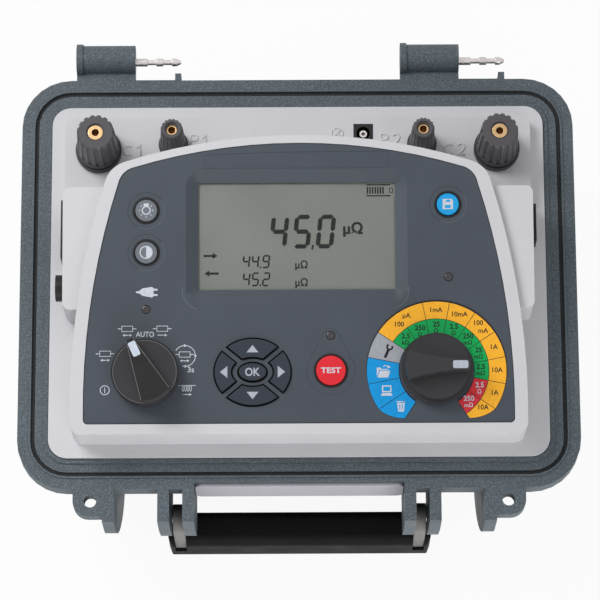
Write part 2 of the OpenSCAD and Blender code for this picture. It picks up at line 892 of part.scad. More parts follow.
// Low ring on the rim, inset from its edge
module ring(inset, w, h) {
  difference() {
    plate(case_w - 2 * inset, case_l - 2 * inset, rim_r - inset, rim_z - rim_t / 2, rim_z + h);
    plate(case_w - 2 * (inset + w), case_l - 2 * (inset + w), rim_r - inset - w,
      rim_z - rim_t, rim_z + h + over);
  }
}

// Boss behind the front plate
module front_boss() {
  translate([-inner_ear_x - ear_t / 2, notch_y, rim_z - front_boss_h])
    cube([2 * inner_ear_x + ear_t, ear_root_y - notch_y, front_boss_h]);
}

// Feet, tray and studs on the floor
module floor_fittings() {
  for (p = pillars) translate([p[0], p[1], wall / 2])
    cylinder(r = pillar_foot_r, h = wall / 2 + pillar_foot_h);
  translate([battery_x, 0, 0]) difference() {
    plate(battery_l + 2 * (tray_gap + tray_t), battery_w + 2 * (tray_gap + tray_t),
      corner_r + tray_gap + tray_t, wall / 2, wall + tray_h);
    plate(battery_l + 2 * tray_gap, battery_w + 2 * tray_gap, corner_r + tray_gap, wall,
      wall + tray_h + over);
  }
  supply_studs() {
    cylinder(r = pillar_r, h = supply_z - wall / 2);
    cylinder(r = screw_r, h = supply_top_z + peg_l - wall / 2);
  }
}

// Places of the studs under the power supply
module supply_studs() {
  for (x = [-1, 1], y = [-1, 1])
    translate([supply_x + x * (supply_w / 2 - supply_stud_in), y * (supply_l / 2 - supply_stud_in), wall / 2])
      children();
}

// Case with its ears, ribs, padlock tabs and hinge barrels
module case_base() {
  color([0.36, 0.38, 0.42]) difference() {
    union() {
      difference() {
        union() {
          difference() {
            case_outside();
            notch_front_y = front_y - over;
            translate([-inner_ear_x, notch_front_y, rim_z - skirt_h - over])
              cube([2 * inner_ear_x, notch_y - notch_front_y, skirt_h + 2 * over]);
          }
          front_boss();
        }
        tub(wall, wall, cavity_z - slice_t);
        plate(mouth_w - 2 * ledge_w, mouth_l - 2 * ledge_w, mouth_r - ledge_w / 2, cavity_z - over, rim_z);
        plate(mouth_w, mouth_l, mouth_r, ledge_z, rim_z + lip_h + over);
      }
      floor_fittings();
    }
    difference() {
      inset = ridge_in + ridge_w;
      plate(case_w - 2 * inset, case_l - 2 * inset, rim_r - inset, rim_z - seal_groove_d, rim_z + over);
      plate(case_w - 2 * (inset + seal_groove_w), case_l - 2 * (inset + seal_groove_w),
        rim_r - inset - seal_groove_w, rim_z - seal_groove_d - over, rim_z + 2 * over);
    }
    for (side = [-1, 1]) {
      rod(side * arm_x - arm_slot / 2 - ear_t - over, pivot_y, pivot_z, pivot_r + run,
        arm_slot + 2 * ear_t + 2 * over);
      translate([side * eye_x, front_y - eye_reach, rim_z - tab_t - over])
        cylinder(r = eye_r, h = tab_t + 2 * over);
    }
    for (x = [hinge_left_x, hinge_right_x])
      rod(x + hinge_plate_t + barrel_l - pin_root_l, rear_y + pin_reach, rim_z, pin_root_r + run,
        pin_root_l + over);
    difference() {
      relief_in = rim_overhang + draft + base_round + over;
      plate(case_w - 2 * relief_in, case_l - 2 * relief_in, island_r, -over, relief_d);
      for (x = [-1, 1], y = [-1, 1])
        translate([x * (case_w / 2 - relief_in), y * (case_l / 2 - relief_in), -2 * over])
          cylinder(r = pad_r, h = relief_d + 3 * over);
      translate([0, 0, -2 * over]) cylinder(r = island_r, h = relief_d + 3 * over);
    }
    for (p = pillars) translate([p[0], p[1], 0]) {
      translate([0, 0, -over]) cylinder(r = recess_r, h = recess_d + over);
      cylinder(r = screw_r + fit, h = pillar_low_z + over);
    }
  }
}

// Sealing cord in the groove of the rim
module rim_seal() {
  inset = ridge_in + ridge_w + fit;
  w = seal_groove_w - 2 * fit;
  color([0.12, 0.12, 0.13]) difference() {
    plate(case_w - 2 * inset, case_l - 2 * inset, rim_r - inset, rim_z - seal_groove_d,
      rim_z - seal_groove_d / 3);
    plate(case_w - 2 * (inset + w), case_l - 2 * (inset + w), rim_r - inset - w,
      rim_z - seal_groove_d - over, rim_z);
  }
}

// Plain plate between the handle ears
module front_plate() {
  color([0.82, 0.83, 0.84]) translate([0, notch_y, rim_z - front_plate_drop - front_plate_h / 2])
    rotate([90, 0, 0]) linear_extrude(front_plate_t)
      polygon(round_rect(front_plate_w, front_plate_h, front_plate_r));
}

// Turned pin that the lid swings on, from its root to the tip
module hinge_pin(x) {
  a = pin_root_l;
  b = a + pin_bearing_l + pin_waist_l;
  c = b + pin_collar_l + pin_waist_l;
  d = c + pin_head_l;
  color([0.75, 0.76, 0.78]) translate([x + hinge_plate_t + barrel_l - pin_root_l, rear_y + pin_reach, rim_z])
    rotate([0, 90, 0]) {
      cylinder(r = pin_root_r, h = a);
      cylinder(r = pin_r, h = a + pin_bearing_l);
      cylinder(r = pin_waist_r, h = d);
      translate([0, 0, b]) cylinder(r = pin_r, h = pin_collar_l);
      translate([0, 0, c]) cylinder(r = pin_r, h = pin_head_l);
      translate([0, 0, d]) cylinder(r1 = pin_r, r2 = pin_tip_r, h = pin_tip_l);
    }
}

// Left hinge pin
module hinge_pin_left() {
  hinge_pin(hinge_left_x);
}

// Right hinge pin
module hinge_pin_right() {
  hinge_pin(hinge_right_x);
}

// Two pins through the ears for the arms of the handle
module handle_pivots() {
  color([0.6, 0.61, 0.63]) for (side = [-1, 1])
    rod(side * arm_x - arm_slot / 2 - ear_t, pivot_y, pivot_z, pivot_r, arm_slot + 2 * ear_t);
}

// Block of the bezel, inset, up to a depth below the lip
module bezel_block(inset, low, depth) {
  intersection() {
    translate([0, 0, low]) linear_extrude(case_w) polygon(in_plan(outline(
      lip_side - inset, lip_rear - inset, lip_front - inset,
      bezel_top_r - inset, bezel_low_r - inset)));
    below_lip(depth);
  }
}

// Block of the shoulders, inset, up to a depth below the lip
module shoulder_block(inset, low, depth) {
  l = shoulder_rear_y - shoulder_front_y;
  intersection() {
    translate([0, (shoulder_rear_y + shoulder_front_y) / 2, low]) linear_extrude(case_w)
      polygon(round_rect(2 * (shoulder_x - inset), l - 2 * inset, shoulder_r - inset));
    below_lip(depth);
  }
}

// Block of the terminal deck, inset, between two levels
module deck_block(inset, low, high) {
  half = concat(
    [[deck_x - inset, shoulder_rear_y - inset]],
    arc(deck_x - deck_r, deck_rear_y - deck_r, deck_r - inset, 0, 90, corner_steps)
  );
  translate([0, 0, low]) linear_extrude(high - low) polygon(concat(half, mirrored(half)));
}

// Hollows of the panel moulding, open below
module panel_hollow() {
  bezel_block(panel_wall, ledge_z - over, roof_t);
  shoulder_block(panel_wall, ledge_z - over, shoulder_drop + panel_wall);
  deck_block(panel_wall, ledge_z - over, deck_z - panel_wall);
}

// Boss over a pillar, tied to a wall or roof
module panel_boss(p) {
  translate([p[0], p[1], boss_z]) cylinder(r = boss_r, h = boss_h);
  if (p[1] < 0) {
    side = sign(p[0]);
    web_l = fascia_x + lip_side - panel_wall / 2 - abs(p[0]);
    translate([p[0] + (side - 1) * web_l / 2, p[1] - panel_wall / 2, boss_z]) cube([web_l, panel_wall, boss_h]);
    web_w = p[1] - bezel_front_y - panel_wall / 2;
    translate([p[0] - panel_wall / 2, p[1] - web_w, boss_z]) cube([panel_wall, web_w, boss_h]);
  }
}

// Panel with bezel, shoulders and terminal deck in one moulding
module panel_moulding() {
  color([0.88, 0.88, 0.89]) difference() {
    union() {
      usb_lugs();
      difference() {
        union() {
          plate(mouth_w - 2 * panel_gap, mouth_l - 2 * panel_gap, panel_r, ledge_z, border_z);
          bezel_block(0, ledge_z, 0);
          shoulder_block(0, ledge_z, shoulder_drop);
          deck_block(0, ledge_z, deck_z);
        }
        panel_hollow();
      }
      intersection() {
        for (p = pillars) panel_boss(p);
        union() {
          bezel_block(panel_wall / 2, boss_z, roof_t / 2);
          deck_block(panel_wall / 2, boss_z, deck_z - panel_wall / 2);
        }
      }
    }
    on_fascia(0, 0, -fascia_t) linear_extrude(fascia_t + fascia_sink + over)
      polygon(outline(fascia_gap, fascia_gap, fascia_gap, fascia_top_r + fascia_gap, fascia_low_r));
    on_fascia(0, 0, -roof_t - over) linear_extrude(roof_t + over)
      polygon(outline(-fascia_ledge, -fascia_ledge, -fascia_ledge, fascia_top_r - fascia_ledge,
        fascia_low_r));
    for (p = posts) translate([p[0], p[1], deck_z - panel_wall - over])
      cylinder(r = sized(p, current_sleeve_r, potential_sleeve_r) + fit, h = panel_wall + 2 * over);
    translate([jack_x - jack_w / 2 - fit, jack_y - jack_w / 2 - fit, deck_z - panel_wall - over])
      cube([jack_w + 2 * fit, jack_w + 2 * fit, panel_wall + 2 * over]);
    translate([-shoulder_x - over, inlet_y - inlet_l / 2 - inlet_wall - fit,
      side_socket_z - inlet_h / 2 - inlet_wall - fit])
      cube([panel_wall + 2 * over, inlet_l + 2 * inlet_wall + 2 * fit, inlet_h + 2 * inlet_wall + 2 * fit]);
    rod(-shoulder_x - over, fuse_y, side_socket_z, holder_r + fit, panel_wall + 2 * over);
    translate([shoulder_x - panel_wall - over, usb_y - usb_w / 2 - usb_frame_t - fit,
      side_socket_z - usb_h / 2 - usb_frame_t - fit])
      cube([panel_wall + 2 * over, usb_w + 2 * usb_frame_t + 2 * fit, usb_h + 2 * usb_frame_t + 2 * fit]);
    for (p = pillars) translate([p[0], p[1], boss_z - over])
      cylinder(r = screw_r + fit, h = stud_in_d + 2 * over);
  }
}

// Grown outline of one direction key: 0 right, 1 up, 2 left, 3 down
module key_shape(k, grow) {
  half_web = pad_web / 2 - grow;
  a = k % 2 == 0 ? pad_web_angle : 90 - pad_web_angle;
  apex = half_web / sin(a);
  far = 2 * pad_a;
  rotate(90 * k) intersection() {
    difference() {
      polygon(k % 2 == 0 ? ellipse(pad_a + grow, pad_b + grow) : ellipse(pad_b + grow, pad_a + grow));
      polygon(k % 2 == 0 ? ellipse(pad_in_a - grow, pad_in_b - grow)
        : ellipse(pad_in_b - grow, pad_in_a - grow));
    }
    polygon([[apex, 0], [apex + far * cos(a), far * sin(a)], [apex + far * cos(a), -far * sin(a)]]);
  }
}

// Grown outline of the middle key
module ok_shape(grow) {
  polygon(ellipse(ok_a + grow, ok_b + grow));
}

// Grey face plate with the well of the display and the openings
module fascia() {
  well_w = window_w + 2 * surround_w;
  well_h = window_h + surround_low + surround_top;
  well_s = display_s + (surround_top - surround_low) / 2;
  pocket_w = window_w + 2 * lens_margin + 2 * fit;
  pocket_h = window_h + 2 * lens_margin + 2 * fit;
  color([0.38, 0.41, 0.46]) difference() {
    union() {
      on_fascia(0, 0, -fascia_t) linear_extrude(fascia_t)
        polygon(outline(0, 0, 0, fascia_top_r, fascia_low_r));
      on_fascia(display_x, display_s, -module_d - cell_t) linear_extrude(cell_t + module_d - fascia_t / 2)
        polygon(round_rect(pocket_w + 2 * well_wall, pocket_h + 2 * well_wall, 2 * well_r));
      for (b = control_bosses) on_fascia(b[0], b[1], -control_d)
        cylinder(r = fascia_boss_r, h = control_d - fascia_t / 2);
    }
    on_fascia(display_x, 0, 0) hull() {
      translate([0, well_s, 0]) linear_extrude(slice_t) polygon(round_rect(well_w, well_h, surround_r));
      translate([0, display_s, -window_d - slice_t]) linear_extrude(slice_t)
        polygon(round_rect(window_w, window_h, well_r));
    }
    on_fascia(display_x, display_s, -module_d - cell_t - over)
      linear_extrude(cell_t + lens_t + over) polygon(round_rect(pocket_w, pocket_h, well_r));
    for (b = round_buttons()) on_fascia(b[0], b[1], -fascia_t - over)
      cylinder(r = b[2] + key_gap, h = fascia_t + 2 * over);
    for (p = lamps()) on_fascia(p[0], p[1], -fascia_t - over)
      cylinder(r = led_r + fit, h = fascia_t + 2 * over);
    on_fascia(pad_x, pad_s, -fascia_t - over) linear_extrude(fascia_t + 2 * over) {
      for (k = [0:3]) key_shape(k, pad_gap);
      ok_shape(pad_gap);
    }
    for (p = knobs()) on_fascia(p[0], p[1], -fascia_t - over)
      cylinder(r = shaft_r + near, h = fascia_t + 2 * over);
    for (b = control_bosses) on_fascia(b[0], b[1], -control_d - over)
      cylinder(r = screw_r + run, h = screw_grip_l + over);
  }
}

// Round buttons: place across, place up the slope, radius
function round_buttons() = [
  [left_column_x, light_s, button_r], [left_column_x, contrast_s, button_r],
  [right_column_x, save_s, button_r], [test_x, test_s, test_r]
];

// Places of the indicator lamps
function lamps() = [[left_column_x, led_left_s], [right_column_x, led_right_s], [test_x, led_test_s]];

// Places of the two rotary knobs
function knobs() = [[function_x, function_s], [range_x, range_s]];

// Clear pane over the display
module display_lens() {
  color([0.75, 0.8, 0.8, 0.4]) on_fascia(display_x, display_s, -module_d) linear_extrude(lens_t)
    polygon(round_rect(window_w + 2 * lens_margin, window_h + 2 * lens_margin, well_r));
}

// Display cell between the pane and the control board
module display_module() {
  color([0.55, 0.57, 0.52]) on_fascia(display_x, display_s, -control_d) linear_extrude(control_d - module_d)
    polygon(round_rect(window_w + 2 * lens_margin, window_h + 2 * lens_margin, well_r));
}

// Printed dial round the range knob
module dial_label() {
  low = 90 + dial_count * dial_pitch / 2;
  steps = 4 * dial_count;
  color([0.9, 0.9, 0.9]) on_fascia(range_x, range_s, 0) linear_extrude(dial_t) intersection() {
    polygon(concat(
      arc(0, 0, dial_r, 180 - low, low, steps),
      arc(0, 0, dial_in_r, low, 180 - low, steps)
    ));
    translate([-dial_r - over, -dial_low]) square([2 * dial_r + 2 * over, dial_low + dial_r + over]);
  }
}

// Raised rings round the four round buttons
module button_rings() {
  color([0.08, 0.08, 0.09]) for (b = round_buttons()) on_fascia(b[0], b[1], 0) difference() {
    cylinder(r = b[2] + key_gap + ring_w, h = ring_h);
    translate([0, 0, -over]) cylinder(r = b[2] + key_gap, h = ring_h + 2 * over);
  }
}

// Indicator lamps on the control board
module indicator_leds() {
  color([0.35, 0.33, 0.35]) for (p = lamps()) on_fascia(p[0], p[1], -control_d)
    cylinder(r = led_r, h = control_d + led_proud);
}

// Control board with the switches of the keys
module control_board() {
  color([0.1, 0.35, 0.2]) difference() {
    union() {
      on_fascia(0, control_s + control_l / 2, -board_low) linear_extrude(board_t)
        polygon(round_rect(2 * control_x, control_l, control_r));
      for (p = concat(round_buttons(), key_places())) on_fascia(p[0], p[1], -control_d - board_t / 2)
        cylinder(r = tact_r, h = tact_h + board_t / 2);
    }
    for (p = knobs()) on_fascia(p[0], p[1], -board_low - over)
      cylinder(r = bush_r + fit, h = board_t + 2 * over);
    for (b = control_bosses) on_fascia(b[0], b[1], -board_low - over)
      cylinder(r = screw_r + fit, h = board_t + 2 * over);
  }
}

// Middles of the keys: middle, right, up, left, down
function key_places() = let (a = (pad_a + pad_in_a) / 2, b = (pad_b + pad_in_b) / 2) [
  [pad_x, pad_s], [pad_x + a, pad_s], [pad_x, pad_s + b], [pad_x - a, pad_s], [pad_x, pad_s - b]
];

// Screws of the control board
module control_screws() {
  color([0.7, 0.71, 0.73]) for (b = control_bosses) on_fascia(b[0], b[1], -board_low - head_h) {
    cylinder(r = head_r, h = head_h);
    cylinder(r = screw_r, h = head_h + board_t + screw_grip_l - near);
  }
}

// Body and bush of a rotary switch
module switch_body(x, s) {
  color([0.2, 0.2, 0.22]) on_fascia(x, s, -board_low) difference() {
    union() {
      translate([0, 0, -switch_h]) cylinder(r = switch_r, h = switch_h);
      cylinder(r = bush_r, h = board_low - fascia_t - near);
    }
    translate([0, 0, -shaft_in_d - over]) cylinder(r = shaft_r + run, h = shaft_in_d + board_low);
  }
}

// Switch of the function knob
module function_switch() {
  switch_body(function_x, function_s);
}

// Switch of the range knob
module range_switch() {
  switch_body(range_x, range_s);
}

// Shaft of a rotary switch
module switch_shaft(x, s, h) {
  color([0.72, 0.72, 0.74]) on_fascia(x, s, -shaft_low)
    cylinder(r = shaft_r, h = shaft_low + knob_gap + h - knob_roof);
}

// Shaft of the function knob
module function_shaft() {
  switch_shaft(function_x, function_s, function_h);
}

// Shaft of the range knob
module range_shaft() {
  switch_shaft(range_x, range_s, range_h);
}

// Grip bar with hollow sides, narrow at the mark
module bar_shape(r) {
  side = [for (i = [0:bar_steps])
    [r - 2 * r * i / bar_steps, (bar_narrow + (bar_wide - bar_narrow) * pow(i / bar_steps, 2)) / 2]];
  polygon(concat(side, [for (i = [bar_steps:-1:0]) [side[i][0], -side[i][1]]]));
}

// Round knob with a grip bar between two hollows
module knob(r, skirt_r, skirt_h, h) {
  difference() {
    union() {
      cylinder(r = skirt_r, h = skirt_h);
      cylinder(r = r, h = h - bar_h);
      intersection() {
        cylinder(r = r, h = h);
        linear_extrude(h) bar_shape(r);
      }
    }
    translate([0, 0, -over]) cylinder(r = shaft_r + run, h = h - knob_roof + over);
  }
}

// Function knob at rest, pointing at its mark
module function_knob() {
  color([0.13, 0.13, 0.14]) on_fascia(function_x, function_s, knob_gap) rotate([0, 0, function_angle])
    knob(function_r, function_r, function_h - bar_h, function_h);
}

// Range knob at rest, pointing to the right
module range_knob() {
  color([0.13, 0.13, 0.14]) on_fascia(range_x, range_s, knob_gap)
    knob(range_body_r, range_r, range_skirt_h, range_h);
}

// Cap, flange and stem of a round button
module round_button(b) {
  foot = fascia_t + near;
  on_fascia(b[0], b[1], 0) {
    translate([0, 0, -foot]) cylinder(r = b[2], h = foot + button_h);
    translate([0, 0, -foot - flange_t]) cylinder(r = b[2] + key_gap + flange_lip, h = flange_t);
    translate([0, 0, -key_low]) cylinder(r = stem_r, h = key_low - foot);
  }
}

// Button of the display light
module light_button() {
  color([0.55, 0.57, 0.6]) round_button(round_buttons()[0]);
}

// Button of the display contrast
module contrast_button() {
  color([0.55, 0.57, 0.6]) round_button(round_buttons()[1]);
}

// Button that stores a reading
module save_button() {
  color([0.2, 0.4, 0.7]) round_button(round_buttons()[2]);
}

// Large button that starts a test
module test_button() {
  color([0.75, 0.15, 0.15]) round_button(round_buttons()[3]);
}

// Cap, flange and stem of a direction key, the middle key as -1
module pad_key(k) {
  foot = fascia_t + near;
  stem = key_places()[k + 1];
  color([0.5, 0.52, 0.55]) {
    on_fascia(pad_x, pad_s, -foot) linear_extrude(foot + pad_h) pad_shape(k, 0);
    on_fascia(pad_x, pad_s, -foot - flange_t) linear_extrude(flange_t) pad_shape(k, pad_gap + flange_lip);
    on_fascia(stem[0], stem[1], -key_low) cylinder(r = stem_r, h = key_low - foot);
  }
}

// Grown outline of one of the five keys
module pad_shape(k, grow) {
  if (k < 0) ok_shape(grow);
  else key_shape(k, grow);
}

// Middle key
module ok_key() {
  pad_key(-1);
}

// Right key
module right_key() {
  pad_key(0);
}

// Upper key
module up_key() {
  pad_key(1);
}

// Left key
module left_key() {
  pad_key(2);
}

// Lower key
module down_key() {
  pad_key(3);
}

// Size of a post by its kind
function sized(p, current, potential) = p[2] == 1 ? current : potential;

// Stud radius of a post
function stud_of(p) = sized(p, current_stud_r, potential_stud_r);

// Height of the base of a post
function base_of(p) = sized(p, current_base_h, potential_base_h);

// Bases of the terminals with their sleeves through the deck
module terminal_bases() {
  color([0.2, 0.2, 0.21]) for (p = posts) translate([p[0], p[1], deck_z]) difference() {
    union() {
      cylinder(r = sized(p, current_base_r, potential_base_r), h = base_of(p));
      translate([0, 0, -panel_wall])
        cylinder(r = sized(p, current_sleeve_r, potential_sleeve_r), h = panel_wall + over);
    }
    translate([0, 0, -panel_wall - over])
      cylinder(r = stud_of(p) + fit, h = panel_wall + base_of(p) + 2 * over);
  }
}

// Studs of the terminals with their plug sockets
module terminal_studs() {
  color([0.83, 0.66, 0.4]) for (p = posts) {
    top = sized(p, current_h - current_stud_drop, potential_h - potential_stud_drop);
    translate([p[0], p[1], deck_z - stud_tail_l]) difference() {
      cylinder(r = stud_of(p), h = stud_tail_l + top);
      translate([0, 0, stud_tail_l + top - socket_d]) cylinder(r = socket_r, h = socket_d + over);
    }
  }
}

// Nuts of the studs under the deck
module terminal_nuts() {
  color([0.78, 0.68, 0.45]) for (p = posts)
    translate([p[0], p[1], deck_z - panel_wall - nut_h]) linear_extrude(nut_h) difference() {
      polygon([for (a = [0:60:300]) sized(p, current_nut_r, potential_nut_r) * [cos(a), sin(a)]]);
      circle(r = stud_of(p) + fit);
    }
}

// Lugs under the nuts and their leads to the main board
module terminal_leads() {
  lug_z = deck_z - panel_wall - nut_h - lug_t;
  color([0.7, 0.2, 0.18]) for (p = posts) translate([p[0], p[1], 0]) {
    reach = lug_reach + stud_of(p);
    translate([0, 0, lug_z]) linear_extrude(lug_t) difference() {
      union() {
        circle(r = stud_of(p) + lug_w);
        translate([-lead_r, -reach - lead_r]) square([2 * lead_r, reach]);
      }
      circle(r = stud_of(p) + fit);
    }
    translate([0, -reach, 0]) mirror([p[0] > 0 ? 1 : 0, 0, 0]) lead(main_z + board_t, lug_z);
  }
}

// Lead with a step half way between two levels
module lead(low, high) {
  mid = (low + high) / 2;
  translate([0, 0, mid + lead_bend_r]) cylinder(r = lead_r, h = high - mid - lead_bend_r + lug_t / 2);
  translate([lead_bend_r, 0, mid + lead_bend_r]) rotate([90, 180, 0]) lead_bend();
  translate([lead_bend_r, 0, mid - lead_bend_r]) rotate([90, 0, 0]) lead_bend();
  translate([2 * lead_bend_r, 0, low]) cylinder(r = lead_r, h = mid - lead_bend_r - low);
}

// Quarter bend of a lead
module lead_bend() {
  rotate_extrude(angle = 90) translate([lead_bend_r, 0]) circle(r = lead_r);
}

// Clamp washer of a post
module washer(p) {
  color([0.8, 0.7, 0.48]) translate([p[0], p[1], deck_z + base_of(p)]) difference() {
    cylinder(r = sized(p, current_cap_r, potential_cap_r) - washer_in, h = washer_t);
    translate([0, 0, -over]) cylinder(r = stud_of(p) + near, h = washer_t + 2 * over);
  }
}

// Grooved screw cap of a post
module cap(p) {
  foot_r = sized(p, current_cap_r, potential_cap_r);
  top_r = sized(p, current_top_r, potential_top_r);
  foot = base_of(p) + washer_t;
  h = sized(p, current_h, potential_h) - foot;
  rise = h - cap_collar_h - cap_chamfer;
  lean = atan((foot_r - top_r) / rise);
  color([0.16, 0.16, 0.17]) translate([p[0], p[1], deck_z + foot]) difference() {
    union() {
      cylinder(r = foot_r, h = cap_collar_h);
      translate([0, 0, cap_collar_h]) cylinder(r1 = foot_r - cap_rebate, r2 = top_r, h = rise);
      translate([0, 0, h - cap_chamfer]) cylinder(r1 = top_r, r2 = top_r - cap_chamfer, h = cap_chamfer);
    }
    translate([0, 0, -over]) cylinder(r = stud_of(p) + cap_run, h = h + 2 * over);
    translate([0, 0, h - cap_recess_d]) cylinder(r = stud_of(p) + cap_recess_w, h = cap_recess_d + over);
    for (i = [0:cap_grooves - 1]) rotate([0, 0, 360 * i / cap_grooves])
      translate([foot_r, 0, cap_collar_h + cap_rebate]) rotate([0, -lean, 0])
        cylinder(r = groove_share * foot_r, h = h);
  }
}

// Left current washer
module washer_c1() {
  washer(posts[0]);
}

// Left potential washer
module washer_p1() {
  washer(posts[1]);
}

// Right potential washer
module washer_p2() {
  washer(posts[2]);
}

// Right current washer
module washer_c2() {
  washer(posts[3]);
}

// Left current cap
module cap_c1() {
  cap(posts[0]);
}

// Left potential cap
module cap_p1() {
  cap(posts[1]);
}

// Right potential cap
module cap_p2() {
  cap(posts[2]);
}

// Right current cap
module cap_c2() {
  cap(posts[3]);
}

// Square socket for a signal lamp, flush with the deck
module lamp_jack() {
  flange = jack_w + 2 * jack_flange_w;
  color([0.1, 0.1, 0.11]) translate([jack_x, jack_y, deck_z - jack_d]) difference() {
    union() {
      translate([-jack_w / 2, -jack_w / 2, 0]) cube([jack_w, jack_w, jack_d]);
      translate([-flange / 2, -flange / 2, jack_d - panel_wall - jack_flange_t])
        cube([flange, flange, jack_flange_t]);
    }
    translate([0, 0, jack_floor]) cylinder(r = jack_r, h = jack_d);
  }
}

// Contact tube in the lamp socket
module lamp_jack_pin() {
  color([0.75, 0.75, 0.77]) translate([jack_x, jack_y, deck_z - jack_d + jack_floor]) difference() {
    cylinder(r = jack_pin_r, h = jack_d - jack_floor - jack_pin_drop);
    translate([0, 0, jack_floor]) cylinder(r = jack_pin_r / 2, h = jack_d);
  }
}

// Rectangle with two cut corners, in y and z at the side sockets
function socket_points(y, l, h, corner) = [
  [y - l / 2, side_socket_z - h / 2], [y + l / 2, side_socket_z - h / 2],
  [y + l / 2, side_socket_z + h / 2 - corner], [y + l / 2 - corner, side_socket_z + h / 2],
  [y - l / 2 + corner, side_socket_z + h / 2], [y - l / 2, side_socket_z + h / 2 - corner]
];

// Mains inlet in the left shoulder with its three blades
module mains_inlet() {
  color([0.1, 0.1, 0.11]) {
    difference() {
      union() {
        side_sheet(-shoulder_x - inlet_flange_t, inlet_flange_t,
          socket_points(inlet_y, inlet_flange_l, inlet_flange_h, inlet_flange_t));
        side_sheet(-shoulder_x - inlet_flange_t / 2, inlet_d + inlet_wall,
          socket_points(inlet_y, inlet_l + 2 * inlet_wall, inlet_h + 2 * inlet_wall, inlet_flange_t));
      }
      side_sheet(-shoulder_x - inlet_flange_t - over, inlet_d + over,
        socket_points(inlet_y, inlet_l, inlet_h, inlet_corner));
    }
    for (k = [-1, 0, 1]) translate([
      -shoulder_x - inlet_flange_t + inlet_d - blade_l, inlet_y + k * blade_pitch - blade_t / 2,
      side_socket_z - blade_w / 2 - blade_rise + (k == 0 ? 2 * blade_rise : 0)
    ]) cube([blade_l + inlet_wall / 2, blade_t, blade_w]);
  }
}

// Holder of the mains fuse in the left shoulder
module fuse_holder() {
  color([0.12, 0.12, 0.13]) difference() {
    union() {
      rod(-shoulder_x, fuse_y, side_socket_z, holder_r, fuse_l);
      rod(-shoulder_x + panel_wall, fuse_y, side_socket_z, fuse_r, fuse_flange_t);
    }
    rod(-shoulder_x - over, fuse_y, side_socket_z, fuse_stem_r + run, fuse_stem_l + 2 * over);
  }
}

// Cap of the fuse holder with its stem
module fuse_cap() {
  color([0.1, 0.1, 0.11]) difference() {
    union() {
      rod(-shoulder_x - near - fuse_cap_h, fuse_y, side_socket_z, fuse_r, fuse_cap_h);
      rod(-shoulder_x - near - over, fuse_y, side_socket_z, fuse_stem_r, fuse_stem_l + near + over);
    }
    translate([-shoulder_x - near - fuse_cap_h - over, fuse_y - fuse_r + fuse_slot_w,
      side_socket_z - fuse_slot_w / 2])
      cube([fuse_slot_d + over, 2 * (fuse_r - fuse_slot_w), fuse_slot_w]);
  }
}

// Data socket in the right shoulder
module usb_socket() {
  w = usb_w + 2 * usb_frame_t;
  h = usb_h + 2 * usb_frame_t;
  color([0.7, 0.7, 0.72]) {
    difference() {
      translate([shoulder_x - usb_l, usb_y - w / 2, side_socket_z - h / 2]) cube([usb_l, w, h]);
      translate([shoulder_x - usb_l + usb_frame_t, usb_y - usb_w / 2, side_socket_z - usb_h / 2])
        cube([usb_l, usb_w, usb_h]);
    }
    translate([shoulder_x - usb_l + usb_frame_t / 2, usb_y - usb_w / 4, side_socket_z - usb_h / 6])
      cube([2 * usb_l / 3, usb_w / 2, usb_h / 3]);
  }
}

// Flap over the data socket, on the lugs below it
module usb_cover() {
  axis_x = shoulder_x + usb_hinge_r + near;
  low_z = side_socket_z - usb_cover_h / 2;
  axis_z = low_z - usb_hinge_r - near;
  color([0.15, 0.15, 0.16]) {
    translate([shoulder_x, usb_y - usb_cover_l / 2, low_z]) cube([usb_cover_t, usb_cover_l, usb_cover_h]);
    translate([shoulder_x + near, usb_y - usb_hinge_l / 2, axis_z])
      cube([usb_cover_t - near, usb_hinge_l, low_z - axis_z + over]);
    translate([axis_x, usb_y + usb_hinge_l / 2, axis_z]) rotate([90, 0, 0])
      cylinder(r = usb_hinge_r, h = usb_hinge_l);
    translate([axis_x, usb_y + usb_hinge_l / 2 + usb_lug_t, axis_z]) rotate([90, 0, 0])
      cylinder(r = usb_pin_r, h = usb_hinge_l + 2 * usb_lug_t);
  }
}

// Lugs that carry the flap
module usb_lugs() {
  axis_x = shoulder_x + usb_hinge_r + near;
  axis_z = side_socket_z - usb_cover_h / 2 - usb_hinge_r - near;
  for (side = [0, 1]) translate([0, usb_y, 0]) mirror([0, side, 0]) translate([0, usb_hinge_l / 2 + near, 0])
    difference() {
      union() {
        translate([shoulder_x - over, 0, axis_z - usb_hinge_r])
          cube([usb_hinge_r + near + over, usb_lug_t, 2 * usb_hinge_r]);
        translate([axis_x, usb_lug_t, axis_z]) rotate([90, 0, 0]) cylinder(r = usb_hinge_r, h = usb_lug_t);
      }
      translate([axis_x, usb_lug_t + over, axis_z]) rotate([90, 0, 0])
        cylinder(r = usb_pin_r + run, h = usb_lug_t + 2 * over);
    }
}

// Main circuit board on the lower pillars
module main_board() {
  color([0.1, 0.35, 0.2]) difference() {
    union() {
      plate(2 * main_x, 2 * main_y, board_r, main_z, main_z + board_t);
      for (x = [-3:3]) translate([x * 2 * chip_w - chip_w / 2, -chip_w, main_z + board_t / 2])
        cube([chip_w, chip_w, board_t / 2 + chip_h]);
      for (x = [-2:2]) translate([x * 2 * chip_w - chip_w, 2 * chip_w, main_z + board_t / 2])
        cube([3 * chip_w / 2, chip_w, board_t / 2 + relay_h]);
    }
    for (p = pillars) translate([p[0], p[1], main_z - over])
      cylinder(r = screw_r + fit, h = board_t + 2 * over);
  }
}

